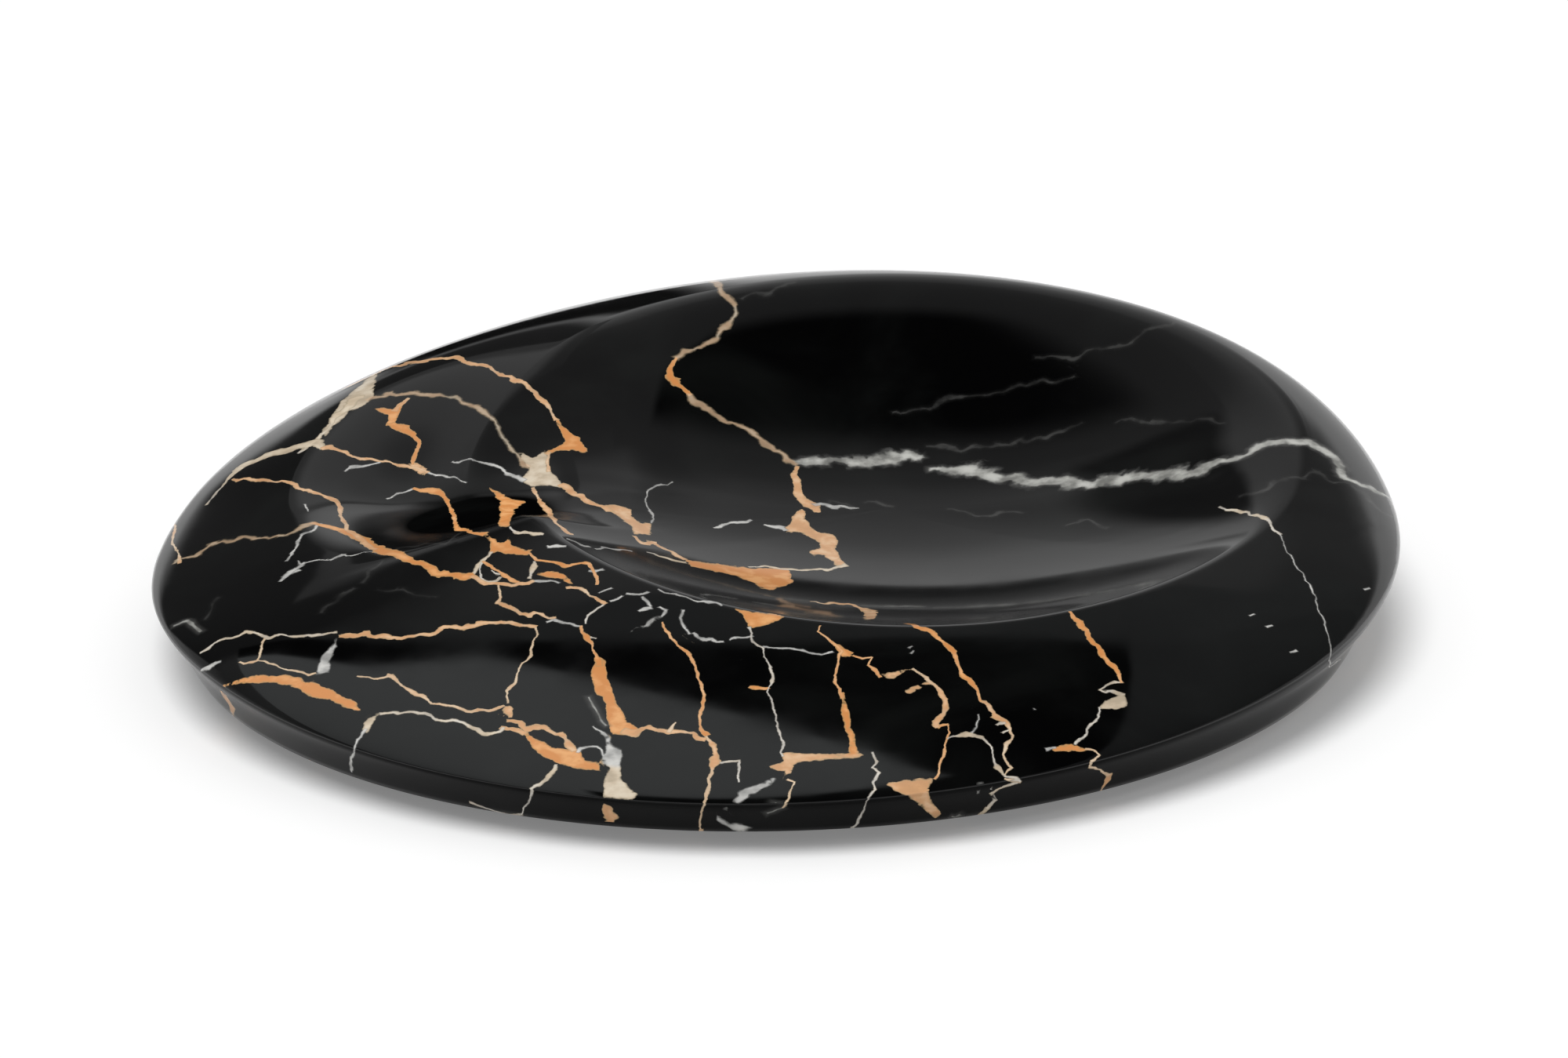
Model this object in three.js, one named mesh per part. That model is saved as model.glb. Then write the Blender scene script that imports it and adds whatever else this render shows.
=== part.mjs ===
// Round marble ashtray: one carved and polished stone on four felt feet.
//
// The stone is a flared disc with a sloped top. An off-centre bowl is scooped out of that top,
// so the rim is a broad apron at the front and on the left, and a slim rolled edge elsewhere.
// The rim's edge is crisp along the front and flows into a soft roll round the rest of the bowl.
// On the left the bowl runs out over the rim in a shallow hollow, where a cigarette rests.
//
// Millimetres and degrees. +Z is up, the front faces -Y, and Z = 0 is the surface it stands on.

import * as THREE from 'three';

// Felt feet, and the adhesive discs that hold them to the underside
const FOOT_RADIUS = 11;
const FOOT_FELT = 1.7;
const FOOT_ROUND = 0.5;
const FOOT_INSET = 10.7;
const FOOT_START = 45;
const FOOT_COUNT = 4;
const GLUE_THICKNESS = 0.3;
const GLUE_INSET = 1;

// Bowl: its axis, the radius of the rim's highest line, and its depth below the sloped top
const BOWL_X = 18.6;
const BOWL_Y = 16.6;
const RIM_RADIUS = 68;
const BOWL_DEPTH = 13;
const BOWL_FLATNESS = 2.2;

// Rim: how far it is drawn in at the left end of its crisp edge, and the directions it is drawn in between
const RIM_DRAWN_IN = 5;
const DRAWN_LEFT_FROM = 174;
const DRAWN_LEFT_TO = 213;
const DRAWN_RIGHT_FROM = 217;
const DRAWN_RIGHT_TO = 290;

// Hollow on the left: its depth, the directions of its back, its bottom and the ridge at its front,
// and the distances from the bowl's axis between which it deepens and runs out
const HOLLOW_DEPTH = 7.4;
const HOLLOW_BACK = 132;
const HOLLOW_BOTTOM = 184;
const HOLLOW_RIDGE = 207;
const HOLLOW_BANK = 1.1;
const HOLLOW_STARTS = 40;
const HOLLOW_FULL = 66;
const HOLLOW_FADES = 74;
const HOLLOW_ENDS = 99;

// Outside: where the rim is slimmest, how far its highest line stays inside the arris
const RIM_SLIM = 1.6;

// Undercut band between the flat underside and the arris, with a small chamfer below. The arris rises to the
// back, and has the band's height where it is this share of the radius from the middle.
const BAND_HEIGHT = 5.6;
const BAND_TILT = 2.6;
const BAND_LEVEL_AT = -0.77;
const BAND_FLARE = 2.4;
const BASE_CHAMFER = 0.8;

// Sloped top: its slope, and how far it stands above the arris at the thin front edge
const TOP_SLOPE = 7.35;
const FRONT_RISE = 0.8;

// Apron between the rim and the wall: how much more than the top it falls outwards
const APRON_FALL_FRONT = 2.5;
const APRON_FALL_SIDE = 10;
const APRON_LAND = 1;

// Wall above the arris: it leans out to the widest line, then rolls into the apron
const WALL_LEAN = 19;
const WIDEST_LEVEL = 0.6;
const SHOULDER_FRONT = 16;
const SHOULDER_FULLNESS = 0.62;

// Lip: half width of its rounding where it is crisp and where it is rolled
const LIP_CRISP = 0.9;
const LIP_ROLLED = 10;
const LIP_FULLNESS = 0.62;

// Lip: directions, seen from the bowl's axis, between which it turns from rolled to crisp and back,
// and between which the bowl's wall below it steepens
const CRISP_LEFT_FROM = 197;
const CRISP_LEFT_TO = 210;
const STEEP_LEFT_FROM = 178;
const STEEP_LEFT_TO = 216;
const CRISP_RIGHT_FROM = 322;
const CRISP_RIGHT_TO = 358;

// Fineness of the mesh: degrees from one profile to the next, and finer ones about the hollow's ridge
const TURN_STEP = 3;
const FINE_STEP = 1.5;
const FINE_FROM = 189;
const FINE_TO = 216;
const BOWL_STEPS = 11;
const LIP_STEPS = 8;
const APRON_STEPS = 4;
const SHOULDER_STEPS = 11;
const WALL_STEPS = 3;
const BASE_STEPS = 3;
const FOOT_STEPS = 40;

const { clamp, lerp, smoothstep, degToRad } = THREE.MathUtils;

const UNDERSIDE = FOOT_FELT + GLUE_THICKNESS;
const ARRIS_LEVEL = UNDERSIDE + BAND_HEIGHT;
const ARRIS_RADIUS = Math.hypot(BOWL_X, BOWL_Y) + RIM_RADIUS + RIM_SLIM;
const BASE_RADIUS = ARRIS_RADIUS - BAND_FLARE;
const FOOT_CIRCLE = BASE_RADIUS - FOOT_INSET - FOOT_RADIUS;
const SLOPE = Math.tan(degToRad(TOP_SLOPE));
const LEAN = Math.tan(degToRad(WALL_LEAN));

// Level of the sloped top at the bowl's axis, set so that the apron ends at the front edge's height.
const FRONT = new THREE.Vector2(0, -1);
const FRONT_APRON = reachTo(ARRIS_RADIUS, FRONT) - RIM_RADIUS;
const FRONT_FALL = SLOPE + Math.tan(degToRad(APRON_FALL_FRONT));
const TOP_LEVEL = ARRIS_LEVEL + FRONT_RISE + FRONT_FALL * FRONT_APRON + SLOPE * RIM_RADIUS;

function point(reach, level) {
  return new THREE.Vector2(reach, level);
}

// How crisp the rim is in a direction: 1 along the front, 0 where it is rolled. The left end is given.
function crispness(turn, from, to) {
  const rising = smoothstep(turn, from, to);
  const falling = smoothstep(turn, CRISP_RIGHT_FROM, CRISP_RIGHT_TO);
  return rising * (1 - falling);
}

// Distance from the bowl's axis to the rim's highest line in a direction.
function rimRadius(turn) {
  const rising = smoothstep(turn, DRAWN_LEFT_FROM, DRAWN_LEFT_TO);
  const falling = smoothstep(turn, DRAWN_RIGHT_FROM, DRAWN_RIGHT_TO);
  return RIM_RADIUS - RIM_DRAWN_IN * rising * (1 - falling);
}

// How far the hollow on the left lowers the top. Its front bank ends in a ridge, and its back is soft.
function hollowAt(turn, reach) {
  const back = smoothstep(turn, HOLLOW_BACK, HOLLOW_BOTTOM);
  const front = clamp((turn - HOLLOW_BOTTOM) / (HOLLOW_RIDGE - HOLLOW_BOTTOM), 0, 1) ** HOLLOW_BANK;
  const inside = smoothstep(reach, HOLLOW_STARTS, HOLLOW_FULL);
  const outside = smoothstep(reach, HOLLOW_FADES, HOLLOW_ENDS);
  return HOLLOW_DEPTH * back * (1 - front) * inside * (1 - outside);
}

// Distance from the bowl's axis, in a direction, to a circle about the stone's own axis.
function reachTo(radius, direction) {
  const along = BOWL_X * direction.x + BOWL_Y * direction.y;
  const offset = BOWL_X * BOWL_X + BOWL_Y * BOWL_Y;
  return -along + Math.sqrt(along * along - offset + radius * radius);
}

// Where two straight lines meet, each given by a point and its slope.
function meeting(a, slopeA, b, slopeB) {
  const reach = (b.y - a.y + slopeA * a.x - slopeB * b.x) / (slopeA - slopeB);
  return point(reach, a.y + slopeA * (reach - a.x));
}

// A rounded turn from one point to another, pulled towards the corner between them.
function roundedTurn(from, corner, to, fullness, steps) {
  const curve = new THREE.CubicBezierCurve(
    from,
    from.clone().lerp(corner, fullness),
    to.clone().lerp(corner, fullness),
    to,
  );
  return curve.getPoints(steps).slice(1);
}

function straight(from, to, steps) {
  return new THREE.LineCurve(from, to).getPoints(steps).slice(1);
}

// Profile of the stone in the vertical plane that leaves the bowl's axis in one direction.
// It is drawn from the bowl's middle over the lip and down the outside to the underside's middle.
function stoneProfile(turn) {
  const direction = point(Math.cos(degToRad(turn)), Math.sin(degToRad(turn)));
  const topSlope = SLOPE * direction.y;
  const topAt = (reach) => TOP_LEVEL + topSlope * reach;
  const crisp = crispness(turn, CRISP_LEFT_FROM, CRISP_LEFT_TO);
  const steep = crispness(turn, STEEP_LEFT_FROM, STEEP_LEFT_TO);

  // Rim and apron
  const rimReach = rimRadius(turn);
  const crest = point(rimReach, topAt(rimReach));
  const apronSlope = topSlope - Math.tan(degToRad(lerp(APRON_FALL_SIDE, APRON_FALL_FRONT, steep)));
  const apronAt = (reach) => crest.y + apronSlope * (reach - rimReach);

  // Wall
  const base = reachTo(BASE_RADIUS, direction);
  const arrisReach = reachTo(ARRIS_RADIUS, direction);
  const towardsBack = (BOWL_Y + arrisReach * direction.y) / ARRIS_RADIUS;
  const arris = point(arrisReach, ARRIS_LEVEL + BAND_TILT * (towardsBack - BAND_LEVEL_AT));
  const rise = (apronAt(arris.x) - ARRIS_LEVEL) / (1 - apronSlope * LEAN);
  const widest = point(arris.x + LEAN * rise, ARRIS_LEVEL + WIDEST_LEVEL * rise);
  const wallCorner = point(widest.x, (widest.y + arris.y) / 2);

  // Shoulder, which takes the whole rim where the lip is rolled
  const rim = widest.x - rimReach - APRON_LAND;
  const shoulderReach = lerp(rim, Math.min(SHOULDER_FRONT, rim), steep);
  const shoulder = point(widest.x - shoulderReach, apronAt(widest.x - shoulderReach));
  const shoulderCorner = point(widest.x, apronAt(widest.x));

  // Bowl and lip
  const lip = lerp(LIP_ROLLED, LIP_CRISP, crisp);
  const bowlEdge = rimReach - lerp(LIP_ROLLED, LIP_CRISP, steep);
  const bowlAt = (reach) => topAt(reach) - BOWL_DEPTH * (1 - (reach / bowlEdge) ** BOWL_FLATNESS);
  const steepness = BOWL_DEPTH * BOWL_FLATNESS / bowlEdge;
  const bowlSlopeAt = (reach) => topSlope + steepness * (reach / bowlEdge) ** (BOWL_FLATNESS - 1);
  const lipStart = point(rimReach - 2 * lip, bowlAt(rimReach - 2 * lip));
  const lipCorner = meeting(lipStart, bowlSlopeAt(lipStart.x), crest, apronSlope);

  const profile = [point(0, bowlAt(0))];
  for (let step = 1; step <= BOWL_STEPS; step += 1) {
    const reach = lipStart.x * step / BOWL_STEPS;
    profile.push(point(reach, bowlAt(reach)));
  }
  profile.push(...roundedTurn(lipStart, lipCorner, crest, LIP_FULLNESS, LIP_STEPS));
  profile.push(...straight(crest, shoulder, APRON_STEPS));
  profile.push(...roundedTurn(shoulder, shoulderCorner, widest, SHOULDER_FULLNESS, SHOULDER_STEPS));
  for (const at of profile) {
    at.y -= hollowAt(turn, at.x);
  }
  profile.push(...roundedTurn(widest, wallCorner, arris, SHOULDER_FULLNESS, WALL_STEPS));
  profile.push(point(base, UNDERSIDE + BASE_CHAMFER));
  const underside = point(base - BASE_CHAMFER, UNDERSIDE);
  profile.push(underside);
  profile.push(...straight(underside, point(0, UNDERSIDE), BASE_STEPS));
  return profile;
}

// Directions of the profiles, closer together about the hollow's ridge.
function turns() {
  const list = [];
  for (let turn = 0; turn < 360; turn += turn >= FINE_FROM && turn < FINE_TO ? FINE_STEP : TURN_STEP) {
    list.push(turn);
  }
  return list;
}

// The stone is turned like a lathe piece about the bowl's axis, with a profile that changes as it turns.
function stoneGeometry() {
  const list = turns();
  const profiles = list.map((turn) => stoneProfile(turn).reverse());
  const geometry = new THREE.LatheGeometry(profiles[0], list.length);
  const position = geometry.getAttribute('position');
  for (let step = 0; step <= list.length; step += 1) {
    const profile = profiles[step % list.length];
    const angle = degToRad(list[step % list.length]);
    profile.forEach((at, index) => {
      const x = BOWL_X + at.x * Math.cos(angle);
      const y = BOWL_Y + at.x * Math.sin(angle);
      position.setXYZ(step * profile.length + index, x, y, at.y);
    });
  }
  geometry.computeVertexNormals();
  return geometry;
}

// A felt foot: a flat disc with its lower edge rounded.
function footGeometry() {
  const round = new THREE.QuadraticBezierCurve(
    point(FOOT_RADIUS - FOOT_ROUND, 0),
    point(FOOT_RADIUS, 0),
    point(FOOT_RADIUS, FOOT_ROUND),
  );
  const profile = [point(0, 0), ...round.getPoints(2), point(FOOT_RADIUS, FOOT_FELT), point(0, FOOT_FELT)];
  return new THREE.LatheGeometry(profile, FOOT_STEPS).rotateX(Math.PI / 2);
}

// The adhesive disc between a foot and the stone.
function glueGeometry() {
  const radius = FOOT_RADIUS - GLUE_INSET;
  return new THREE.CylinderGeometry(radius, radius, GLUE_THICKNESS, FOOT_STEPS).rotateX(Math.PI / 2);
}

const stoneMaterial = new THREE.MeshStandardMaterial({ color: 0x232323, roughness: 0.12, metalness: 0 });
const feltMaterial = new THREE.MeshStandardMaterial({ color: 0x1b1b1c, roughness: 0.95, metalness: 0 });
const glueMaterial = new THREE.MeshStandardMaterial({ color: 0xd9d4c4, roughness: 0.5, metalness: 0 });

const ashtray = new THREE.Group();

const stone = new THREE.Mesh(stoneGeometry(), stoneMaterial);
stone.name = 'marble_body';
ashtray.add(stone);

for (let index = 0; index < FOOT_COUNT; index += 1) {
  const angle = degToRad(FOOT_START + index * 360 / FOOT_COUNT);
  const seat = new THREE.Group();
  seat.position.set(FOOT_CIRCLE * Math.cos(angle), FOOT_CIRCLE * Math.sin(angle), 0);

  const foot = new THREE.Mesh(footGeometry(), feltMaterial);
  foot.name = `felt_foot_${index + 1}`;
  seat.add(foot);

  const glue = new THREE.Mesh(glueGeometry(), glueMaterial);
  glue.name = `adhesive_disc_${index + 1}`;
  glue.position.z = FOOT_FELT + GLUE_THICKNESS / 2;
  seat.add(glue);

  ashtray.add(seat);
}

// The origin is the middle of the outline, on the surface the ashtray stands on.
const middle = new THREE.Box3().setFromObject(ashtray).getCenter(new THREE.Vector3());
for (const child of ashtray.children) {
  child.position.x -= middle.x;
  child.position.y -= middle.y;
}

export default ashtray;
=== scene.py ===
"""Looks of a round marble ashtray: one carved, polished stone on four felt feet.

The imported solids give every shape. The stone is a smoothed copy of its solid. Its veins are drawn on it as
lines and patches that were read from the photograph, seen through the photograph's own camera.
"""

from __future__ import annotations

import logging
import math
import random
from collections.abc import Callable
from dataclasses import dataclass, field
from enum import Enum

import bpy
import numpy as np
from mathutils import Matrix, Vector
from mathutils.bvhtree import BVHTree
from mathutils.kdtree import KDTree

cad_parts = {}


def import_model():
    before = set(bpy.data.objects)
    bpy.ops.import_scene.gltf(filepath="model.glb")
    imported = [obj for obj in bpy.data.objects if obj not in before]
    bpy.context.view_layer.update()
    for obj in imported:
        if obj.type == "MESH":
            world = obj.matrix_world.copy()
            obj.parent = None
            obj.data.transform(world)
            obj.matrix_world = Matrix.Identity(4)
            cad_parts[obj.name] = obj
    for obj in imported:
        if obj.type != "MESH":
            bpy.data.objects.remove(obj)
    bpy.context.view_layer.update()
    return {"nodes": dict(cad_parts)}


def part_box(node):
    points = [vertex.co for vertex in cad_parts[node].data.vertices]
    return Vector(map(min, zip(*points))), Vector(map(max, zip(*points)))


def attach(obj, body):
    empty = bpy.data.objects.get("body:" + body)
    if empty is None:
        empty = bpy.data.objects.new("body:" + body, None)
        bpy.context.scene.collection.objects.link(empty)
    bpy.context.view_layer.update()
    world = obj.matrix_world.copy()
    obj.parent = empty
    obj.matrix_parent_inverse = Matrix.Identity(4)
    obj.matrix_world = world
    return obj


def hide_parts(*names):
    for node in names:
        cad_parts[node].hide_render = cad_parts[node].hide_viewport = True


LOG = logging.getLogger("ashtray")
MM = 0.001
BODY = "root"
FEET = 4
ZENITH = 90.0
SHEET_CUTS = 4
TINY = 1e-9

Pixel = tuple[float, float]
Span = tuple[float, float]
Noise = tuple[float, ...]
Point = tuple[float, float, float]
Colour = tuple[float, float, float, float]
Socket = bpy.types.NodeSocket


class VeinKind(Enum):
    """What fills a vein, from iron-stained calcite to a faint haze."""

    GOLD = "gold"
    PEACH = "peach"
    DUSK = "dusk"
    CREAM = "cream"
    WHITE = "white"
    CLOUD = "cloud"
    MIST = "mist"


GOLD, PEACH, DUSK, CREAM, WHITE, CLOUD, MIST = VeinKind


@dataclass(frozen=True)
class VeinLook:
    """How one kind of vein is drawn.

    tint is its place on the colour ramps, from 0 to 1. softness is the width of its edge in millimetres,
    and strength is how much of the stone it covers.
    """

    tint: float
    softness: float
    strength: float


VEIN_LOOKS: dict[VeinKind, VeinLook] = {
    GOLD: VeinLook(tint=0.0, softness=0.06, strength=1.0),
    PEACH: VeinLook(tint=0.2, softness=0.07, strength=0.95),
    DUSK: VeinLook(tint=0.3, softness=0.3, strength=0.6),
    CREAM: VeinLook(tint=0.4, softness=0.09, strength=0.92),
    WHITE: VeinLook(tint=0.6, softness=0.14, strength=0.85),
    CLOUD: VeinLook(tint=0.8, softness=0.85, strength=0.92),
    MIST: VeinLook(tint=1.0, softness=0.75, strength=0.3),
}


@dataclass(frozen=True)
class Vein:
    """A vein as the photograph shows it; the line along the lip's crest also carries the crest's painted
    highlight. Its line is x, y and full width, in photo pixels.
    """

    name: str
    kind: VeinKind
    line: tuple[Point, ...]


@dataclass(frozen=True)
class Patch:
    """A patch of filling as the photograph shows it. Its outline is in photo pixels."""

    name: str
    kind: VeinKind
    outline: tuple[Pixel, ...]

    def near(self, x: float, y: float, margin: float) -> bool:
        """Says whether a pixel lies in the patch's box or within a margin of it."""
        across = [corner[0] for corner in self.outline]
        down = [corner[1] for corner in self.outline]
        beside = min(across) - margin < x < max(across) + margin
        return beside and min(down) - margin < y < max(down) + margin

    def gap(self, x: float, y: float) -> float:
        """Measures how far a pixel is from the outline.

        Args:
            x: pixels from the picture's left edge.
            y: pixels from the picture's top edge.

        Returns:
            The distance in pixels, negative inside the patch.
        """
        here = Vector((x, y))
        nearest = math.inf
        inside = False
        for start, end in zip(self.outline, self.outline[1:] + self.outline[:1]):
            one = Vector(start)
            run = Vector(end) - one
            share = max(0.0, min(1.0, (here - one).dot(run) / max(run.length_squared, TINY)))
            nearest = min(nearest, (one + share * run - here).length)
            crosses = (start[1] > y) != (end[1] > y)
            if crosses and x < start[0] + (y - start[1]) / (end[1] - start[1]) * run.x:
                inside = not inside
        return -nearest if inside else nearest


@dataclass(frozen=True)
class HiddenVein:
    """A vein on a side that the photograph doesn't show.

    It starts at a turn about the stone's axis, counted from the right, and at a radius and a height. Its
    heading is counted from the direction of rising turn, towards up on a wall and outwards underneath.
    Angles are in degrees, lengths in millimetres.
    """

    name: str
    kind: VeinKind
    turn: float
    radius: float
    height: float
    heading: float
    length: float
    width: float


BACK_VEINS = (
    Vein("back_gold", DUSK, (
        (915, 361, 8), (926, 378, 8), (937, 388, 7), (939, 400, 6), (931, 411, 6), (920, 421, 8),
        (906, 436, 7), (893, 443, 6), (873, 448, 7), (863, 456, 8))),
    Vein("back_bend", GOLD, (
        (863, 456, 6), (855, 469, 8), (853, 480, 10), (862, 489, 9), (873, 496, 8), (880, 503, 5))),
    Vein("back_run", DUSK, (
        (880, 503, 6), (895, 516, 8), (910, 527, 6), (933, 539, 6), (953, 547, 6), (969, 559, 6),
        (984, 570, 7), (1004, 588, 7), (1015, 592, 6))),
    Vein("zigzag_white_left", WHITE, ((976, 669, 2), (984, 671, 4), (1001, 676, 5))),
    Vein("zigzag_white_right", WHITE, (
        (1040, 644, 5), (1056, 644, 5), (1072, 645, 4), (1095, 648, 2))),
    Vein("zigzag_foot", CREAM, (
        (1078, 721, 6), (1057, 727, 4), (1030, 727, 4), (1008, 726, 4), (983, 723, 4),
        (956, 723, 3))),
    Vein("bowl_white_left", CLOUD, (
        (1016, 590, 8), (1054, 587, 10), (1096, 587, 13), (1134, 587, 15), (1161, 579, 13),
        (1177, 582, 8))),
    Vein("bowl_white_long", CLOUD, (
        (1187, 598, 7), (1214, 601, 13), (1252, 603, 14), (1289, 609, 11), (1321, 617, 13),
        (1375, 617, 15), (1428, 612, 15), (1471, 606, 12), (1520, 603, 14), (1557, 587, 12),
        (1600, 574, 11), (1637, 561, 9), (1669, 563, 9), (1702, 582, 8), (1750, 622, 7),
        (1793, 673, 6))),
    Vein("right_faint", MIST, (
        (1581, 633, 5), (1605, 628, 6), (1643, 609, 6), (1680, 601, 6), (1723, 617, 5),
        (1761, 652, 5), (1798, 684, 4))),
    Vein("back_wisp_high", MIST, (
        (1321, 456, 5), (1375, 456, 7), (1418, 443, 7), (1461, 421, 6), (1498, 411, 4))),
    Vein("back_wisp_middle", MIST, (
        (1139, 526, 5), (1193, 518, 6), (1246, 504, 6), (1300, 491, 6), (1370, 480, 4))),
    Vein("back_wisp_low", MIST, (
        (1182, 569, 5), (1241, 569, 7), (1300, 561, 7), (1343, 553, 6), (1380, 539, 4))),
    Vein("back_streak", MIST, ((1423, 539, 3), (1482, 539, 7), (1562, 539, 3))),
    Vein("floor_dash_1", MIST, ((1040, 644, 4), (1091, 649, 6))),
    Vein("floor_dash_2", MIST, ((1102, 641, 5), (1139, 646, 5))),
    Vein("floor_dash_3", MIST, ((1209, 649, 3), (1268, 657, 5), (1305, 654, 3))),
    Vein("floor_dash_4", MIST, ((1359, 670, 4), (1412, 673, 5))),
    Vein("back_thread_high", MIST, ((946, 381, 5), (981, 375, 7), (1014, 360, 5))),
    Vein("floor_dash_5", WHITE, ((911, 673, 2), (933, 666, 4), (958, 663, 3))),
)

RIGHT_VEINS = (
    Vein("right_hairline", CREAM, ((1556, 646, 3), (1590, 652, 3), (1619, 664, 3), (1633, 681, 3))),
    Vein("right_crack", WHITE, (
        (1633, 681, 2), (1662, 731, 2), (1681, 779, 2), (1698, 832, 2), (1696, 851, 2))),
    Vein("right_tick_1", WHITE, ((1594, 785, 3), (1600, 783, 3))),
    Vein("right_tick_2", WHITE, ((1616, 799, 3), (1622, 797, 3))),
    Vein("right_tick_3", WHITE, ((1646, 832, 3), (1654, 830, 3))),
    Vein("right_tick_4", WHITE, ((1741, 752, 3), (1747, 750, 3))),
)

LEFT_VEINS = (
    Vein("hump_gold", PEACH, (
        (483, 475, 7), (500, 467, 6), (540, 462, 6), (580, 455, 5), (615, 465, 5), (650, 480, 5),
        (675, 495, 5), (697, 515, 6), (709, 535, 7))),
    Vein("hump_hook", PEACH, ((700, 577, 7), (698, 588, 6), (699, 601, 6))),
    Vein("hump_run", PEACH, ((716, 618, 6), (733, 631, 5), (750, 640, 6), (776, 651, 7))),
    Vein("hump_cream", CREAM, ((411, 553, 3), (425, 533, 6), (445, 518, 8), (462, 506, 8))),
    Vein("hump_second", DUSK, (
        (468, 510, 6), (495, 502, 5), (530, 500, 5), (565, 505, 4), (595, 515, 5), (625, 532, 5),
        (637, 550, 5), (645, 562, 4), (660, 580, 5), (675, 595, 6))),
    Vein("hump_third", GOLD, (
        (500, 540, 9), (505, 545, 8), (525, 552, 7), (535, 565, 7), (529, 580, 6), (526, 592, 6))),
    Vein("hump_third_tip", PEACH, ((504, 523, 6), (514, 514, 5), (521, 508, 3))),
    Vein("shoulder_cream", CREAM, (
        (287, 616, 3), (322, 590, 9), (350, 577, 11), (380, 569, 12), (402, 564, 10),
        (411, 572, 5))),
    Vein("shoulder_line", PEACH, (
        (411, 572, 5), (445, 580, 4), (480, 587, 4), (520, 594, 5), (545, 602, 5))),
    Vein("shoulder_line_end", WHITE, ((545, 602, 4), (560, 606, 3), (595, 615, 2))),
    Vein("shoulder_streak", WHITE, ((440, 601, 2), (462, 595, 5), (485, 589, 3))),
    Vein("shoulder_gold", PEACH, (
        (297, 611, 3), (338, 612, 4), (380, 622, 5), (410, 630, 4), (430, 640, 5), (435, 657, 5),
        (442, 675, 4), (460, 687, 5), (480, 700, 5))),
    Vein("left_thread", DUSK, (
        (223, 718, 3), (256, 703, 4), (302, 688, 4), (353, 683, 4), (380, 675, 4), (400, 667, 5))),
    Vein("left_tip", PEACH, ((223, 675, 3), (228, 718, 5))),
    Vein("gold_river", GOLD, (
        (400, 667, 5), (420, 672, 6), (445, 680, 7), (475, 697, 9), (490, 705, 10), (515, 710, 8),
        (535, 717, 7), (555, 732, 8), (590, 737, 8), (602, 733, 7))),
    Vein("hollow_start", WHITE, ((494, 636, 2), (512, 629, 3), (528, 623, 4))),
    Vein("hollow_gold", GOLD, (
        (528, 623, 5), (548, 625, 8), (563, 630, 7), (573, 645, 6), (580, 665, 6), (595, 676, 6),
        (616, 681, 7))),
    Vein("hollow_link", PEACH, ((810, 684, 4), (840, 696, 4), (857, 703, 4), (873, 713, 5))),
    Vein("hollow_link_low", CREAM, ((826, 704, 2), (840, 709, 4), (857, 714, 5), (873, 717, 5))),
    Vein("hollow_spur", WHITE, (
        (831, 667, 4), (832, 655, 4), (823, 640, 3), (825, 626, 3), (838, 619, 3), (857, 614, 2))),
    Vein("hollow_thread", PEACH, ((680, 622, 5), (690, 640, 5), (705, 660, 5), (730, 681, 3))),
    Vein("hollow_white", WHITE, (
        (577, 589, 2), (615, 590, 3), (640, 597, 4), (654, 606, 5), (668, 612, 6))),
    Vein("left_white_thread", WHITE, ((380, 715, 2), (430, 710, 3), (480, 705, 2))),
    Vein("bank_thread", MIST, ((500, 702, 2), (540, 692, 3), (590, 678, 2))),
    Vein("left_white_fork", WHITE, ((410, 668, 3), (397, 678, 3), (380, 690, 4), (366, 715, 3))),
    Vein("left_white_speck", WHITE, ((358, 741, 3), (372, 728, 6), (388, 717, 3))),
    Vein("left_shard", MIST, ((489, 714, 3), (470, 727, 6), (462, 743, 5))),
    Vein("left_haze_1", MIST, ((452, 750, 5), (430, 766, 5), (410, 781, 4))),
    Vein("left_haze_2", MIST, ((482, 752, 3), (520, 755, 4), (556, 761, 3))),
    Vein("left_haze_3", MIST, ((261, 790, 4), (279, 762, 4))),
    Vein("left_haze_4", CLOUD, ((222, 798, 3), (240, 792, 6), (256, 805, 4))),
    Vein("left_dot", WHITE, ((389, 643, 3), (393, 652, 2))),
)

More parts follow.
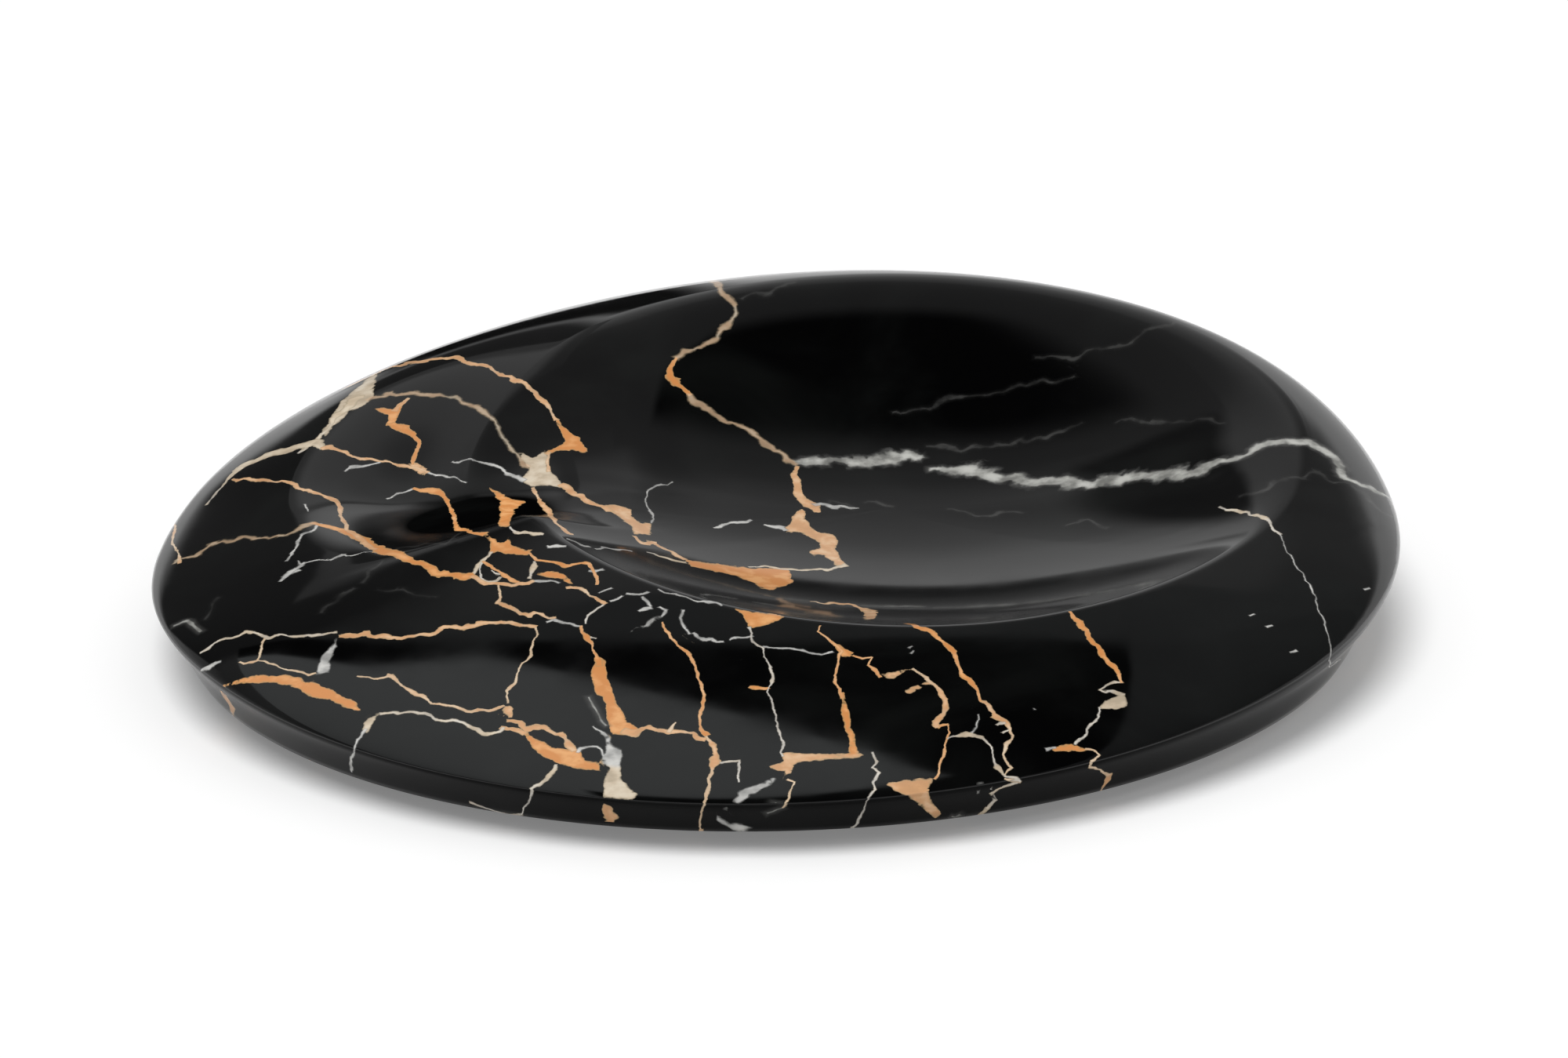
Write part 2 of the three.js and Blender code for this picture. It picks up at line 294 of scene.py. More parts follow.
CLUSTER_VEINS = (
    Vein("knot_cream", CREAM, ((626, 704, 5), (615, 716, 5), (606, 728, 5), (602, 733, 6))),
    Vein("knot_arm", GOLD, (
        (676, 705, 4), (685, 714, 4), (706, 717, 5), (730, 720, 4), (750, 718, 4), (758, 729, 4),
        (762, 745, 4))),
    Vein("ring_left", CREAM, (
        (615, 717, 3), (612, 730, 3), (618, 741, 4), (632, 741, 4), (638, 736, 3))),
    Vein("lattice_1", GOLD, ((616, 716, 3), (630, 725, 4), (645, 735, 5), (660, 742, 4))),
    Vein("lattice_2", CREAM, ((628, 727, 2), (634, 733, 3), (641, 731, 2))),
    Vein("lattice_3", PEACH, (
        (602, 735, 5), (618, 745, 5), (636, 744, 5), (660, 744, 4), (680, 741, 4))),
    Vein("lattice_tail", PEACH, (
        (636, 744, 4), (638, 755, 5), (633, 769, 4), (655, 776, 5), (675, 786, 4), (708, 788, 4))),
    Vein("lattice_end", WHITE, ((698, 793, 3), (719, 794, 4), (741, 798, 3))),
    Vein("fan_cream", CREAM, ((682, 716, 5), (679, 727, 7), (675, 737, 5))),
    Vein("fan_white", WHITE, ((680, 741, 4), (697, 741, 4), (713, 743, 3))),
    Vein("fan_tail", PEACH, ((724, 749, 4), (745, 752, 4), (760, 762, 5), (772, 769, 5))),
    Vein("fan_stem", CREAM, ((772, 769, 4), (762, 776, 3), (752, 783, 3), (748, 795, 4))),
    Vein("hollow_pink", CREAM, ((650, 672, 2), (660, 680, 4), (676, 679, 4), (692, 681, 3))),
    Vein("cluster_star", WHITE, ((698, 696, 2), (708, 695, 5), (721, 696, 3))),
    Vein("crest_white_1", WHITE, ((724, 687, 3), (738, 693, 4), (752, 697, 3))),
    Vein("crest_white_2", WHITE, ((760, 700, 3), (785, 701, 4), (806, 703, 3))),
    # Partly a white vein and partly the lip crest's highlight, painted on the stone as a thin white line.
    Vein("crest_white_and_highlight", WHITE, (
        (840, 751, 2), (862, 757, 3), (886, 766, 3), (906, 768, 4), (920, 772, 2))),
    Vein("crest_line", WHITE, ((752, 728, 3), (768, 726, 4))),
    Vein("chip_1", WHITE, ((764, 756, 2), (780, 750, 4))),
    Vein("chip_2", WHITE, ((779, 766, 3), (793, 760, 4))),
    Vein("chip_3", WHITE, ((800, 757, 3), (826, 755, 4))),
    Vein("chip_4", WHITE, ((816, 779, 4), (830, 775, 4))),
    Vein("chip_5", WHITE, ((819, 761, 4), (830, 773, 4))),
    Vein("chip_6", WHITE, ((841, 774, 4), (849, 778, 5), (844, 786, 4))),
)

FRONT_LEFT_VEINS = (
    Vein("ledge_cream", CREAM, (
        (256, 832, 3), (286, 814, 4), (306, 810, 4), (324, 806, 4), (344, 814, 4), (386, 811, 4),
        (428, 806, 4))),
    Vein("ledge_gold", PEACH, (
        (434, 811, 5), (486, 810, 6), (510, 814, 6), (558, 806, 6), (574, 799, 6), (606, 798, 6),
        (638, 793, 5), (658, 796, 5), (682, 799, 5))),
    Vein("ledge_drop", PEACH, (
        (683, 800, 4), (679, 821, 4), (678, 836, 4), (660, 858, 3), (646, 880, 4), (649, 896, 5))),
    Vein("ledge_spur", PEACH, ((338, 814, 3), (334, 828, 3), (330, 842, 3), (306, 844, 3))),
    Vein("ledge_under", PEACH, (
        (330, 842, 3), (350, 846, 3), (366, 854, 3), (384, 857, 3), (402, 858, 3))),
    Vein("left_white", WHITE, ((256, 856, 4), (268, 851, 7), (281, 844, 3))),
    Vein("arch_foot", PEACH, ((284, 883, 8), (290, 894, 10), (296, 909, 7))),
    Vein("arch_haze", WHITE, ((466, 930, 5), (454, 948, 4), (448, 966, 4), (448, 984, 3))),
    Vein("gold_road", CREAM, (
        (486, 910, 4), (502, 908, 4), (530, 908, 4), (550, 912, 4), (578, 918, 4), (610, 930, 5),
        (642, 928, 5))),
    Vein("gold_road_wide", PEACH, ((640, 928, 6), (654, 929, 7), (668, 935, 8))),
    Vein("road_upper", PEACH, (
        (648, 919, 7), (663, 921, 7), (673, 931, 6), (701, 932, 6), (716, 936, 7), (724, 946, 7),
        (731, 957, 7))),
    Vein("road_ring", WHITE, (
        (737, 959, 4), (741, 954, 5), (755, 952, 4), (767, 956, 4), (770, 964, 5))),
    Vein("upper_road", PEACH, (
        (456, 862, 3), (498, 860, 4), (510, 872, 4), (538, 886, 4), (552, 898, 4), (574, 900, 4),
        (590, 904, 4), (624, 906, 4), (642, 900, 4))),
    Vein("road_branch", CREAM, ((709, 975, 6), (683, 1002, 5), (666, 1039, 4))),
    Vein("ledge_specks", WHITE, ((361, 736, 4), (382, 727, 4))),
)

FRONT_VEINS = (
    Vein("front_stem", GOLD, (
        (742, 798, 4), (742, 806, 6), (750, 815, 7), (756, 821, 4), (762, 836, 6), (764, 848, 10))),
    Vein("front_stem_tick", CREAM, ((750, 814, 3), (760, 814, 3))),
    Vein("stem_mist", CLOUD, ((751, 889, 4), (757, 900, 5), (764, 911, 5), (773, 925, 4))),
    Vein("stem_thread", WHITE, ((757, 926, 2), (765, 932, 4), (773, 938, 5))),
    Vein("front_bridge", PEACH, (
        (797, 933, 9), (816, 931, 7), (840, 932, 5), (852, 934, 6), (868, 933, 5), (885, 935, 6),
        (889, 941, 7), (898, 943, 7))),
    Vein("bridge_spur", PEACH, ((862, 921, 2), (857, 927, 4), (853, 933, 5))),
    Vein("front_line", GOLD, (
        (845, 793, 3), (854, 808, 5), (871, 827, 5), (881, 839, 5), (889, 857, 5), (894, 872, 5),
        (898, 887, 6), (896, 903, 5), (892, 923, 6), (895, 932, 6), (901, 937, 8))),
    Vein("front_line_low", PEACH, (
        (899, 936, 6), (908, 949, 9), (914, 964, 11), (909, 977, 9), (908, 987, 6), (903, 1007, 5),
        (896, 1028, 4), (893, 1046, 4), (894, 1058, 3))),
    Vein("front_wander", CREAM, (
        (956, 800, 5), (958, 814, 4), (963, 822, 4), (973, 826, 4), (975, 836, 3), (982, 849, 4),
        (986, 862, 6), (983, 872, 5), (979, 880, 3), (983, 890, 3), (987, 905, 3), (991, 923, 4),
        (996, 939, 4), (1000, 951, 4), (996, 959, 4), (998, 964, 4))),
    Vein("front_stub", GOLD, ((957, 876, 4), (968, 877, 6), (981, 877, 5))),
    Vein("front_white_1", WHITE, ((871, 778, 4), (868, 788, 5), (873, 801, 5), (880, 808, 4))),
    Vein("front_white_2", WHITE, ((885, 807, 4), (895, 815, 6), (908, 814, 4), (922, 818, 3))),
    Vein("front_white_3", WHITE, ((931, 816, 2), (945, 813, 3), (959, 811, 3))),
    Vein("front_white_4", WHITE, (
        (973, 824, 2), (995, 827, 4), (1010, 827, 3), (1023, 829, 4), (1038, 833, 3),
        (1062, 831, 3))),
    Vein("front_post", GOLD, (
        (1046, 798, 3), (1043, 805, 3), (1061, 819, 4), (1074, 830, 6), (1069, 845, 4),
        (1065, 861, 5), (1071, 878, 5), (1074, 890, 6))),
    Vein("front_beam_tail", PEACH, (
        (1005, 994, 4), (1013, 997, 4), (1007, 1015, 3), (998, 1030, 3))),
    Vein("front_beam_ghost", CLOUD, ((998, 1030, 2), (988, 1034, 3), (979, 1037, 3))),
    Vein("front_curl", GOLD, (
        (1088, 836, 4), (1112, 838, 3), (1108, 848, 4), (1117, 855, 5), (1123, 863, 5))),
    Vein("front_curl_over", PEACH, (
        (1164, 853, 3), (1176, 860, 3), (1184, 867, 4), (1195, 875, 5), (1201, 886, 8),
        (1206, 892, 8), (1205, 909, 6), (1193, 921, 8), (1196, 927, 7))),
    Vein("front_curl_tail", GOLD, (
        (1196, 927, 6), (1209, 924, 4), (1208, 941, 4), (1204, 963, 4), (1198, 985, 4),
        (1193, 993, 4))),
    Vein("front_hook", CREAM, (
        (920, 973, 3), (928, 971, 4), (943, 970, 4), (943, 984, 4), (942, 997, 3))),
    Vein("front_last", CREAM, (
        (1113, 959, 3), (1119, 971, 7), (1113, 979, 4), (1121, 985, 5), (1113, 999, 4),
        (1116, 1006, 7), (1110, 1013, 4), (1102, 1034, 4), (1088, 1055, 4))),
    Vein("bowl_sliver", PEACH, ((1034, 767, 3), (1061, 768, 4), (1094, 774, 5), (1104, 779, 7))),
    Vein("front_speck_1", WHITE, ((947, 842, 3), (949, 842, 3))),
    Vein("front_speck_2", WHITE, ((1160, 826, 3), (1163, 824, 2))),
    Vein("front_speck_3", WHITE, ((1162, 833, 3), (1166, 830, 2))),
)

FRONT_RIGHT_VEINS = (
    Vein("right_river", GOLD, (
        (1157, 795, 4), (1182, 802, 5), (1196, 813, 6), (1209, 823, 7), (1217, 834, 6),
        (1224, 850, 6), (1237, 867, 6), (1248, 883, 5), (1252, 894, 5))),
    Vein("right_river_low", PEACH, (
        (1252, 894, 5), (1263, 901, 6), (1272, 914, 9), (1283, 922, 7), (1291, 938, 6),
        (1282, 949, 5), (1280, 963, 5), (1290, 979, 4), (1282, 988, 4))),
    Vein("right_river_tick_1", CREAM, ((1282, 922, 4), (1272, 924, 4))),
    Vein("right_river_tick_2", CREAM, ((1287, 930, 4), (1279, 934, 4))),
    Vein("right_loop", CREAM, (
        (1209, 942, 3), (1220, 938, 4), (1231, 936, 7), (1239, 937, 5), (1256, 944, 4),
        (1264, 952, 5), (1267, 966, 4), (1273, 979, 8), (1283, 990, 5), (1302, 996, 5))),
    Vein("right_loop_tip", WHITE, ((1239, 935, 4), (1246, 922, 3), (1248, 911, 2))),
    Vein("right_loop_end", PEACH, ((1282, 993, 4), (1294, 994, 5), (1302, 997, 5))),
    Vein("right_loop_tail", CREAM, (
        (1300, 997, 4), (1278, 1004, 4), (1265, 1012, 5), (1270, 1020, 4), (1259, 1031, 5))),
    Vein("right_drop", GOLD, (
        (1364, 780, 5), (1377, 793, 7), (1389, 812, 7), (1404, 829, 7), (1418, 848, 7),
        (1427, 859, 7), (1431, 870, 5))),
    Vein("right_drop_spur", CREAM, ((1431, 870, 3), (1412, 872, 5), (1402, 879, 5))),
    Vein("right_drop_back", CREAM, ((1402, 880, 4), (1420, 881, 4), (1434, 885, 4))),
    Vein("right_drop_low", CREAM, (
        (1402, 902, 4), (1400, 916, 4), (1388, 927, 4), (1386, 938, 4), (1371, 949, 5))),
    Vein("right_drop_tail", PEACH, (
        (1385, 955, 4), (1396, 957, 4), (1402, 963, 4), (1391, 972, 5), (1390, 978, 4),
        (1408, 985, 4), (1415, 988, 5), (1411, 997, 6), (1404, 1008, 4))),
    Vein("right_drop_tip", WHITE, ((1335, 955, 5), (1346, 953, 5))),
    Vein("right_band_dot", WHITE, ((1248, 1010, 5), (1253, 1009, 4))),
    Vein("right_band_dash", CLOUD, ((1214, 1041, 3), (1225, 1039, 4))),
    Vein("right_dot", WHITE, ((1318, 904, 2), (1320, 904, 2))),
)

PATCHES = (
    Patch("bowl_lens_body", GOLD, (
        (871, 712), (885, 717), (906, 719), (936, 722), (956, 724), (983, 724), (1006, 725),
        (1009, 733), (1011, 742), (1004, 747), (989, 749), (986, 754), (968, 749), (953, 740),
        (930, 733), (906, 728), (883, 722))),
    Patch("zigzag_top", PEACH, (
        (1016, 591), (1009, 604), (1012, 616), (1011, 628), (1016, 637), (1025, 645), (1036, 651),
        (1041, 655), (1047, 653), (1046, 643), (1035, 640), (1026, 634), (1023, 622), (1020, 612),
        (1016, 606), (1021, 594))),
    Patch("zigzag_body", PEACH, (
        (1021, 649), (1009, 659), (1011, 665), (1001, 673), (1003, 678), (1019, 679), (1034, 686),
        (1046, 691), (1047, 698), (1030, 703), (1036, 707), (1049, 708), (1056, 714), (1064, 716),
        (1064, 721), (1079, 720), (1069, 707), (1062, 699), (1071, 691), (1062, 682), (1044, 679),
        (1034, 673), (1028, 660), (1026, 650))),
    Patch("hump_fold", GOLD, (
        (706, 530), (716, 540), (726, 550), (740, 560), (751, 578), (728, 574), (712, 573),
        (698, 580), (695, 575), (718, 567), (721, 560), (712, 547))),
    Patch("hump_node", CREAM, (
        (483, 472), (476, 505), (463, 518), (445, 525), (430, 540), (414, 556), (410, 551),
        (425, 530), (435, 512), (455, 495), (473, 478))),
    Patch("hump_third_body", GOLD, (
        (473, 519), (502, 522), (516, 512), (508, 527), (504, 543), (492, 543), (495, 530))),
    Patch("shoulder_knot", PEACH, ((517, 592), (530, 589), (545, 598), (541, 608), (532, 602))),
    Patch("knot_body", GOLD, (
        (614, 677), (630, 687), (640, 692), (652, 682), (651, 695), (670, 702), (681, 700),
        (675, 708), (652, 708), (635, 703), (624, 706), (627, 695))),
    Patch("fan_body", GOLD, (
        (680, 732), (700, 727), (720, 730), (731, 746), (716, 739), (700, 736))),
    Patch("front_stem_body", GOLD, (
        (760, 834), (758, 847), (753, 862), (756, 872), (760, 884), (769, 887), (772, 898),
        (774, 913), (778, 926), (779, 937), (800, 937), (816, 930), (801, 918), (790, 903),
        (783, 888), (779, 875), (773, 857), (771, 844), (765, 836))),
    Patch("front_wedge_body", GOLD, (
        (934, 775), (946, 778), (969, 781), (1001, 785), (994, 791), (974, 797), (956, 801),
        (952, 791), (945, 782))),
    Patch("front_beam_body", PEACH, (
        (998, 960), (1020, 960), (1040, 961), (1070, 960), (1104, 961), (1096, 965), (1070, 966),
        (1040, 970), (1018, 973), (1011, 982), (1007, 992), (1003, 995), (1000, 985), (990, 983),
        (978, 977), (998, 973))),
    Patch("front_post_body", GOLD, (
        (1071, 883), (1075, 894), (1073, 908), (1077, 924), (1083, 946), (1083, 962), (1095, 962),
        (1092, 949), (1086, 927), (1084, 914), (1080, 897), (1075, 881))),
    Patch("front_post_knot", GOLD, (
        (1064, 820), (1076, 826), (1091, 834), (1078, 840), (1070, 835))),
    Patch("front_shard_body", WHITE, (
        (991, 991), (977, 996), (961, 1001), (950, 1006), (941, 1010), (937, 1020), (929, 1031),
        (940, 1024), (954, 1019), (966, 1011), (984, 999))),
    Patch("band_shard_left", WHITE, (
        (915, 1030), (928, 1029), (927, 1037), (918, 1048), (914, 1051), (915, 1039))),
    Patch("band_shard_right", WHITE, (
        (931, 1048), (946, 1048), (954, 1052), (969, 1040), (979, 1035), (966, 1048), (951, 1061),
        (938, 1059), (928, 1056))),
    Patch("front_cream_top", WHITE, (
        (772, 938), (779, 936), (778, 950), (786, 953), (793, 955), (791, 978), (776, 978),
        (768, 972), (768, 963), (773, 956))),
    Patch("front_cream_body", CREAM, (
        (776, 977), (791, 977), (793, 992), (803, 1005), (814, 1013), (806, 1021), (783, 1018),
        (770, 1016), (770, 1000), (774, 987))),
    Patch("band_cream_body", PEACH, (
        (768, 1026), (783, 1025), (782, 1034), (793, 1042), (783, 1046), (780, 1053), (769, 1053))),
    Patch("front_flag_body", PEACH, (
        (1130, 1000), (1149, 996), (1171, 993), (1191, 992), (1186, 1001), (1186, 1012),
        (1190, 1026), (1202, 1040), (1198, 1044), (1184, 1036), (1162, 1019))),
    Patch("front_curl_lens", PEACH, (
        (1121, 860), (1135, 858), (1149, 855), (1165, 852), (1157, 857), (1143, 863), (1130, 865))),
    Patch("front_curl_stub", PEACH, (
        (1154, 881), (1163, 876), (1176, 871), (1185, 868), (1191, 872), (1179, 876), (1160, 885))),
    Patch("bowl_sliver_end", PEACH, (
        (1099, 773), (1120, 779), (1115, 790), (1102, 790), (1102, 782))),
    Patch("road_body", GOLD, (
        (660, 926), (671, 933), (681, 941), (691, 945), (701, 950), (714, 955), (729, 957),
        (741, 958), (744, 969), (755, 972), (765, 970), (768, 983), (750, 983), (724, 977),
        (709, 973), (694, 965), (678, 952), (672, 942))),
    Patch("road_start", PEACH, (
        (640, 909), (648, 897), (655, 903), (653, 919), (647, 921), (647, 908))),
    Patch("drop_block", CREAM, (
        (1434, 884), (1437, 900), (1426, 905), (1401, 903), (1409, 894), (1420, 889))),
    Patch("drop_node", GOLD, (
        (1340, 954), (1349, 950), (1368, 947), (1373, 951), (1396, 956), (1366, 959), (1344, 958))),
    Patch("hump_patch_body", CREAM, (
        (660, 575), (680, 583), (695, 575), (700, 585), (698, 600), (713, 610), (721, 623),
        (695, 618), (676, 621), (664, 610), (675, 600))),
    Patch("ledge_shard_body", WHITE, (
        (432, 810), (430, 824), (422, 836), (420, 856), (402, 860), (408, 840), (420, 826))),
    Patch("arch_body", GOLD, (
        (284, 875), (306, 864), (334, 860), (366, 862), (398, 869), (430, 883), (450, 894),
        (465, 911), (456, 906), (430, 897), (402, 889), (378, 877), (350, 871), (322, 870),
        (298, 873))),
    Patch("arch_haze_top", CREAM, ((465, 916), (485, 910), (477, 921), (468, 934), (463, 932))),
    Patch("hollow_drop_body", GOLD, (
        (620, 620), (635, 628), (652, 635), (670, 640), (658, 648), (648, 671), (636, 671),
        (638, 655), (637, 638))),
    Patch("hollow_blob_body", PEACH, (
        (769, 645), (795, 645), (806, 650), (806, 660), (815, 665), (831, 667), (831, 681),
        (809, 681), (805, 671), (790, 658))),
    Patch("chip_body", WHITE, (
        (803, 806), (819, 797), (829, 789), (841, 785), (846, 787), (836, 793), (824, 799))),
)

# Veins that run on over the edge: the name, whether from the last point, and the length in millimetres.
EDGE_VEINS: tuple[tuple[str, bool, float], ...] = (
    ("back_gold", False, 70.0),
    ("hump_gold", False, 50.0),
    ("hump_cream", False, 40.0),
    ("shoulder_cream", False, 45.0),
    ("left_tip", False, 30.0),
    ("bowl_white_long", True, 40.0),
    ("right_crack", True, 45.0),
    ("arch_foot", True, 50.0),
    ("road_branch", True, 60.0),
    ("front_line_low", True, 70.0),
    ("front_last", True, 55.0),
    ("right_loop_tail", True, 60.0),
    ("right_drop_tail", True, 70.0),
)

HIDDEN_VEINS = (
    HiddenVein("back_wall_1", GOLD, turn=35.0, radius=98.0, height=20.0, heading=35.0, length=70.0,
               width=0.9),
    HiddenVein("back_wall_2", PEACH, turn=62.0, radius=98.0, height=14.0, heading=15.0, length=60.0,
               width=0.7),
    HiddenVein("back_wall_3", CREAM, turn=112.0, radius=98.0, height=16.0, heading=20.0,
               length=55.0, width=0.8),
    HiddenVein("back_wall_4", GOLD, turn=140.0, radius=97.0, height=22.0, heading=160.0,
               length=60.0, width=1.0),
    HiddenVein("back_wall_5", MIST, turn=80.0, radius=98.0, height=24.0, heading=5.0, length=50.0,
               width=1.4),
    HiddenVein("back_band_1", GOLD, turn=50.0, radius=94.0, height=5.0, heading=70.0, length=40.0,
               width=0.8),
    HiddenVein("back_band_2", WHITE, turn=125.0, radius=94.0, height=5.0, heading=110.0,
               length=36.0, width=0.6),
    HiddenVein("back_band_3", PEACH, turn=165.0, radius=94.0, height=6.0, heading=60.0, length=40.0,
               width=0.7),
    HiddenVein("side_band_1", GOLD, turn=10.0, radius=94.0, height=6.0, heading=75.0, length=34.0,
               width=0.8),
    HiddenVein("side_band_2", CREAM, turn=190.0, radius=94.0, height=6.0, heading=105.0,
               length=30.0, width=0.7),
    HiddenVein("under_1", GOLD, turn=200.0, radius=85.0, height=2.0, heading=-70.0, length=150.0,
               width=1.3),
    HiddenVein("under_2", GOLD, turn=80.0, radius=86.0, height=2.0, heading=-110.0, length=130.0,
               width=1.0),
    HiddenVein("under_3", PEACH, turn=320.0, radius=80.0, height=2.0, heading=-60.0, length=120.0,
               width=0.9),
    HiddenVein("under_4", CLOUD, turn=140.0, radius=70.0, height=2.0, heading=-50.0, length=110.0,
               width=1.6),
    HiddenVein("under_5", WHITE, turn=20.0, radius=60.0, height=2.0, heading=-120.0, length=90.0,
               width=0.6),
    HiddenVein("under_6", CREAM, turn=250.0, radius=60.0, height=2.0, heading=-30.0, length=80.0,
               width=0.8),
    HiddenVein("under_7", MIST, turn=290.0, radius=40.0, height=2.0, heading=40.0, length=70.0,
               width=2.0),
)

PHOTO_VEINS: tuple[Vein, ...] = (
    BACK_VEINS + RIGHT_VEINS + LEFT_VEINS + CLUSTER_VEINS
    + FRONT_LEFT_VEINS + FRONT_VEINS + FRONT_RIGHT_VEINS
)


@dataclass
class PhotoView:
    """The photograph's camera, which looks down on the front of the stone.

    middle is the stone's own axis where it meets the floor. Lengths are in metres, angles in degrees, the
    frame and the focal length in photo pixels, and the sensor in millimetres.
    """

    middle: Vector
    frame_width: float = 2000.0
    frame_height: float = 1349.0
    focal: float = 4318.2
    sensor: float = 36.0
    distance: float = 0.540
    elevation: float = 20.211
    roll: float = -1.007
    aim_right: float = 0.002128
    aim_height: float = 0.013827
    clip: Span = (0.01, 50.0)
    place: Vector = field(init=False)
    right: Vector = field(init=False)
    up: Vector = field(init=False)
    back: Vector = field(init=False)

    def __post_init__(self) -> None:
        """Works out where the camera stands and its three axes."""
        lift = math.radians(self.elevation)
        self.place = self.middle + self.distance * Vector((0.0, -math.cos(lift), math.sin(lift)))
        aim = self.middle + Vector((self.aim_right, 0.0, self.aim_height))
        self.back = (self.place - aim).normalized()
        level = Vector((0.0, 0.0, 1.0)).cross(self.back).normalized()
        upright = self.back.cross(level)
        turn = math.radians(self.roll)
        self.right = math.cos(turn) * level + math.sin(turn) * upright
        self.up = math.cos(turn) * upright - math.sin(turn) * level

    def ray(self, x: float, y: float) -> Vector:
        """Gives the direction in which a photo pixel looks.

        Args:
            x: pixels from the picture's left edge.
            y: pixels from the picture's top edge.

        Returns:
            A unit vector in the part's frame.
        """
        across = (x - self.frame_width / 2) / self.focal
        upward = (self.frame_height / 2 - y) / self.focal
        return (across * self.right + upward * self.up - self.back).normalized()

    def pixel(self, place: Vector) -> Pixel:
        """Finds the photo pixel that shows a place in the part's frame."""
        away = place - self.place
        depth = -away.dot(self.back)
        x = self.frame_width / 2 + self.focal * away.dot(self.right) / depth
        return x, self.frame_height / 2 - self.focal * away.dot(self.up) / depth

    def build(self) -> bpy.types.Object:
        """Makes the camera and hands it to the scene.

        Returns:
            The camera object.
        """
        lens = bpy.data.cameras.new("photo_camera")
        lens.sensor_fit = "HORIZONTAL"
        lens.sensor_width = self.sensor
        lens.lens = self.focal * self.sensor / self.frame_width
        lens.clip_start, lens.clip_end = self.clip
        camera = bpy.data.objects.new("photo_camera", lens)
        axes = Matrix((self.right, self.up, self.back)).transposed()
        camera.matrix_world = Matrix.Translation(self.place) @ axes.to_4x4()
        bpy.context.scene.collection.objects.link(camera)
        bpy.context.scene.camera = camera
        return camera


@dataclass
class Thread:
    """A vein's line on the stone: points in metres, with half its width at each."""

    kind: VeinKind
    points: list[Vector]
    halves: list[float]


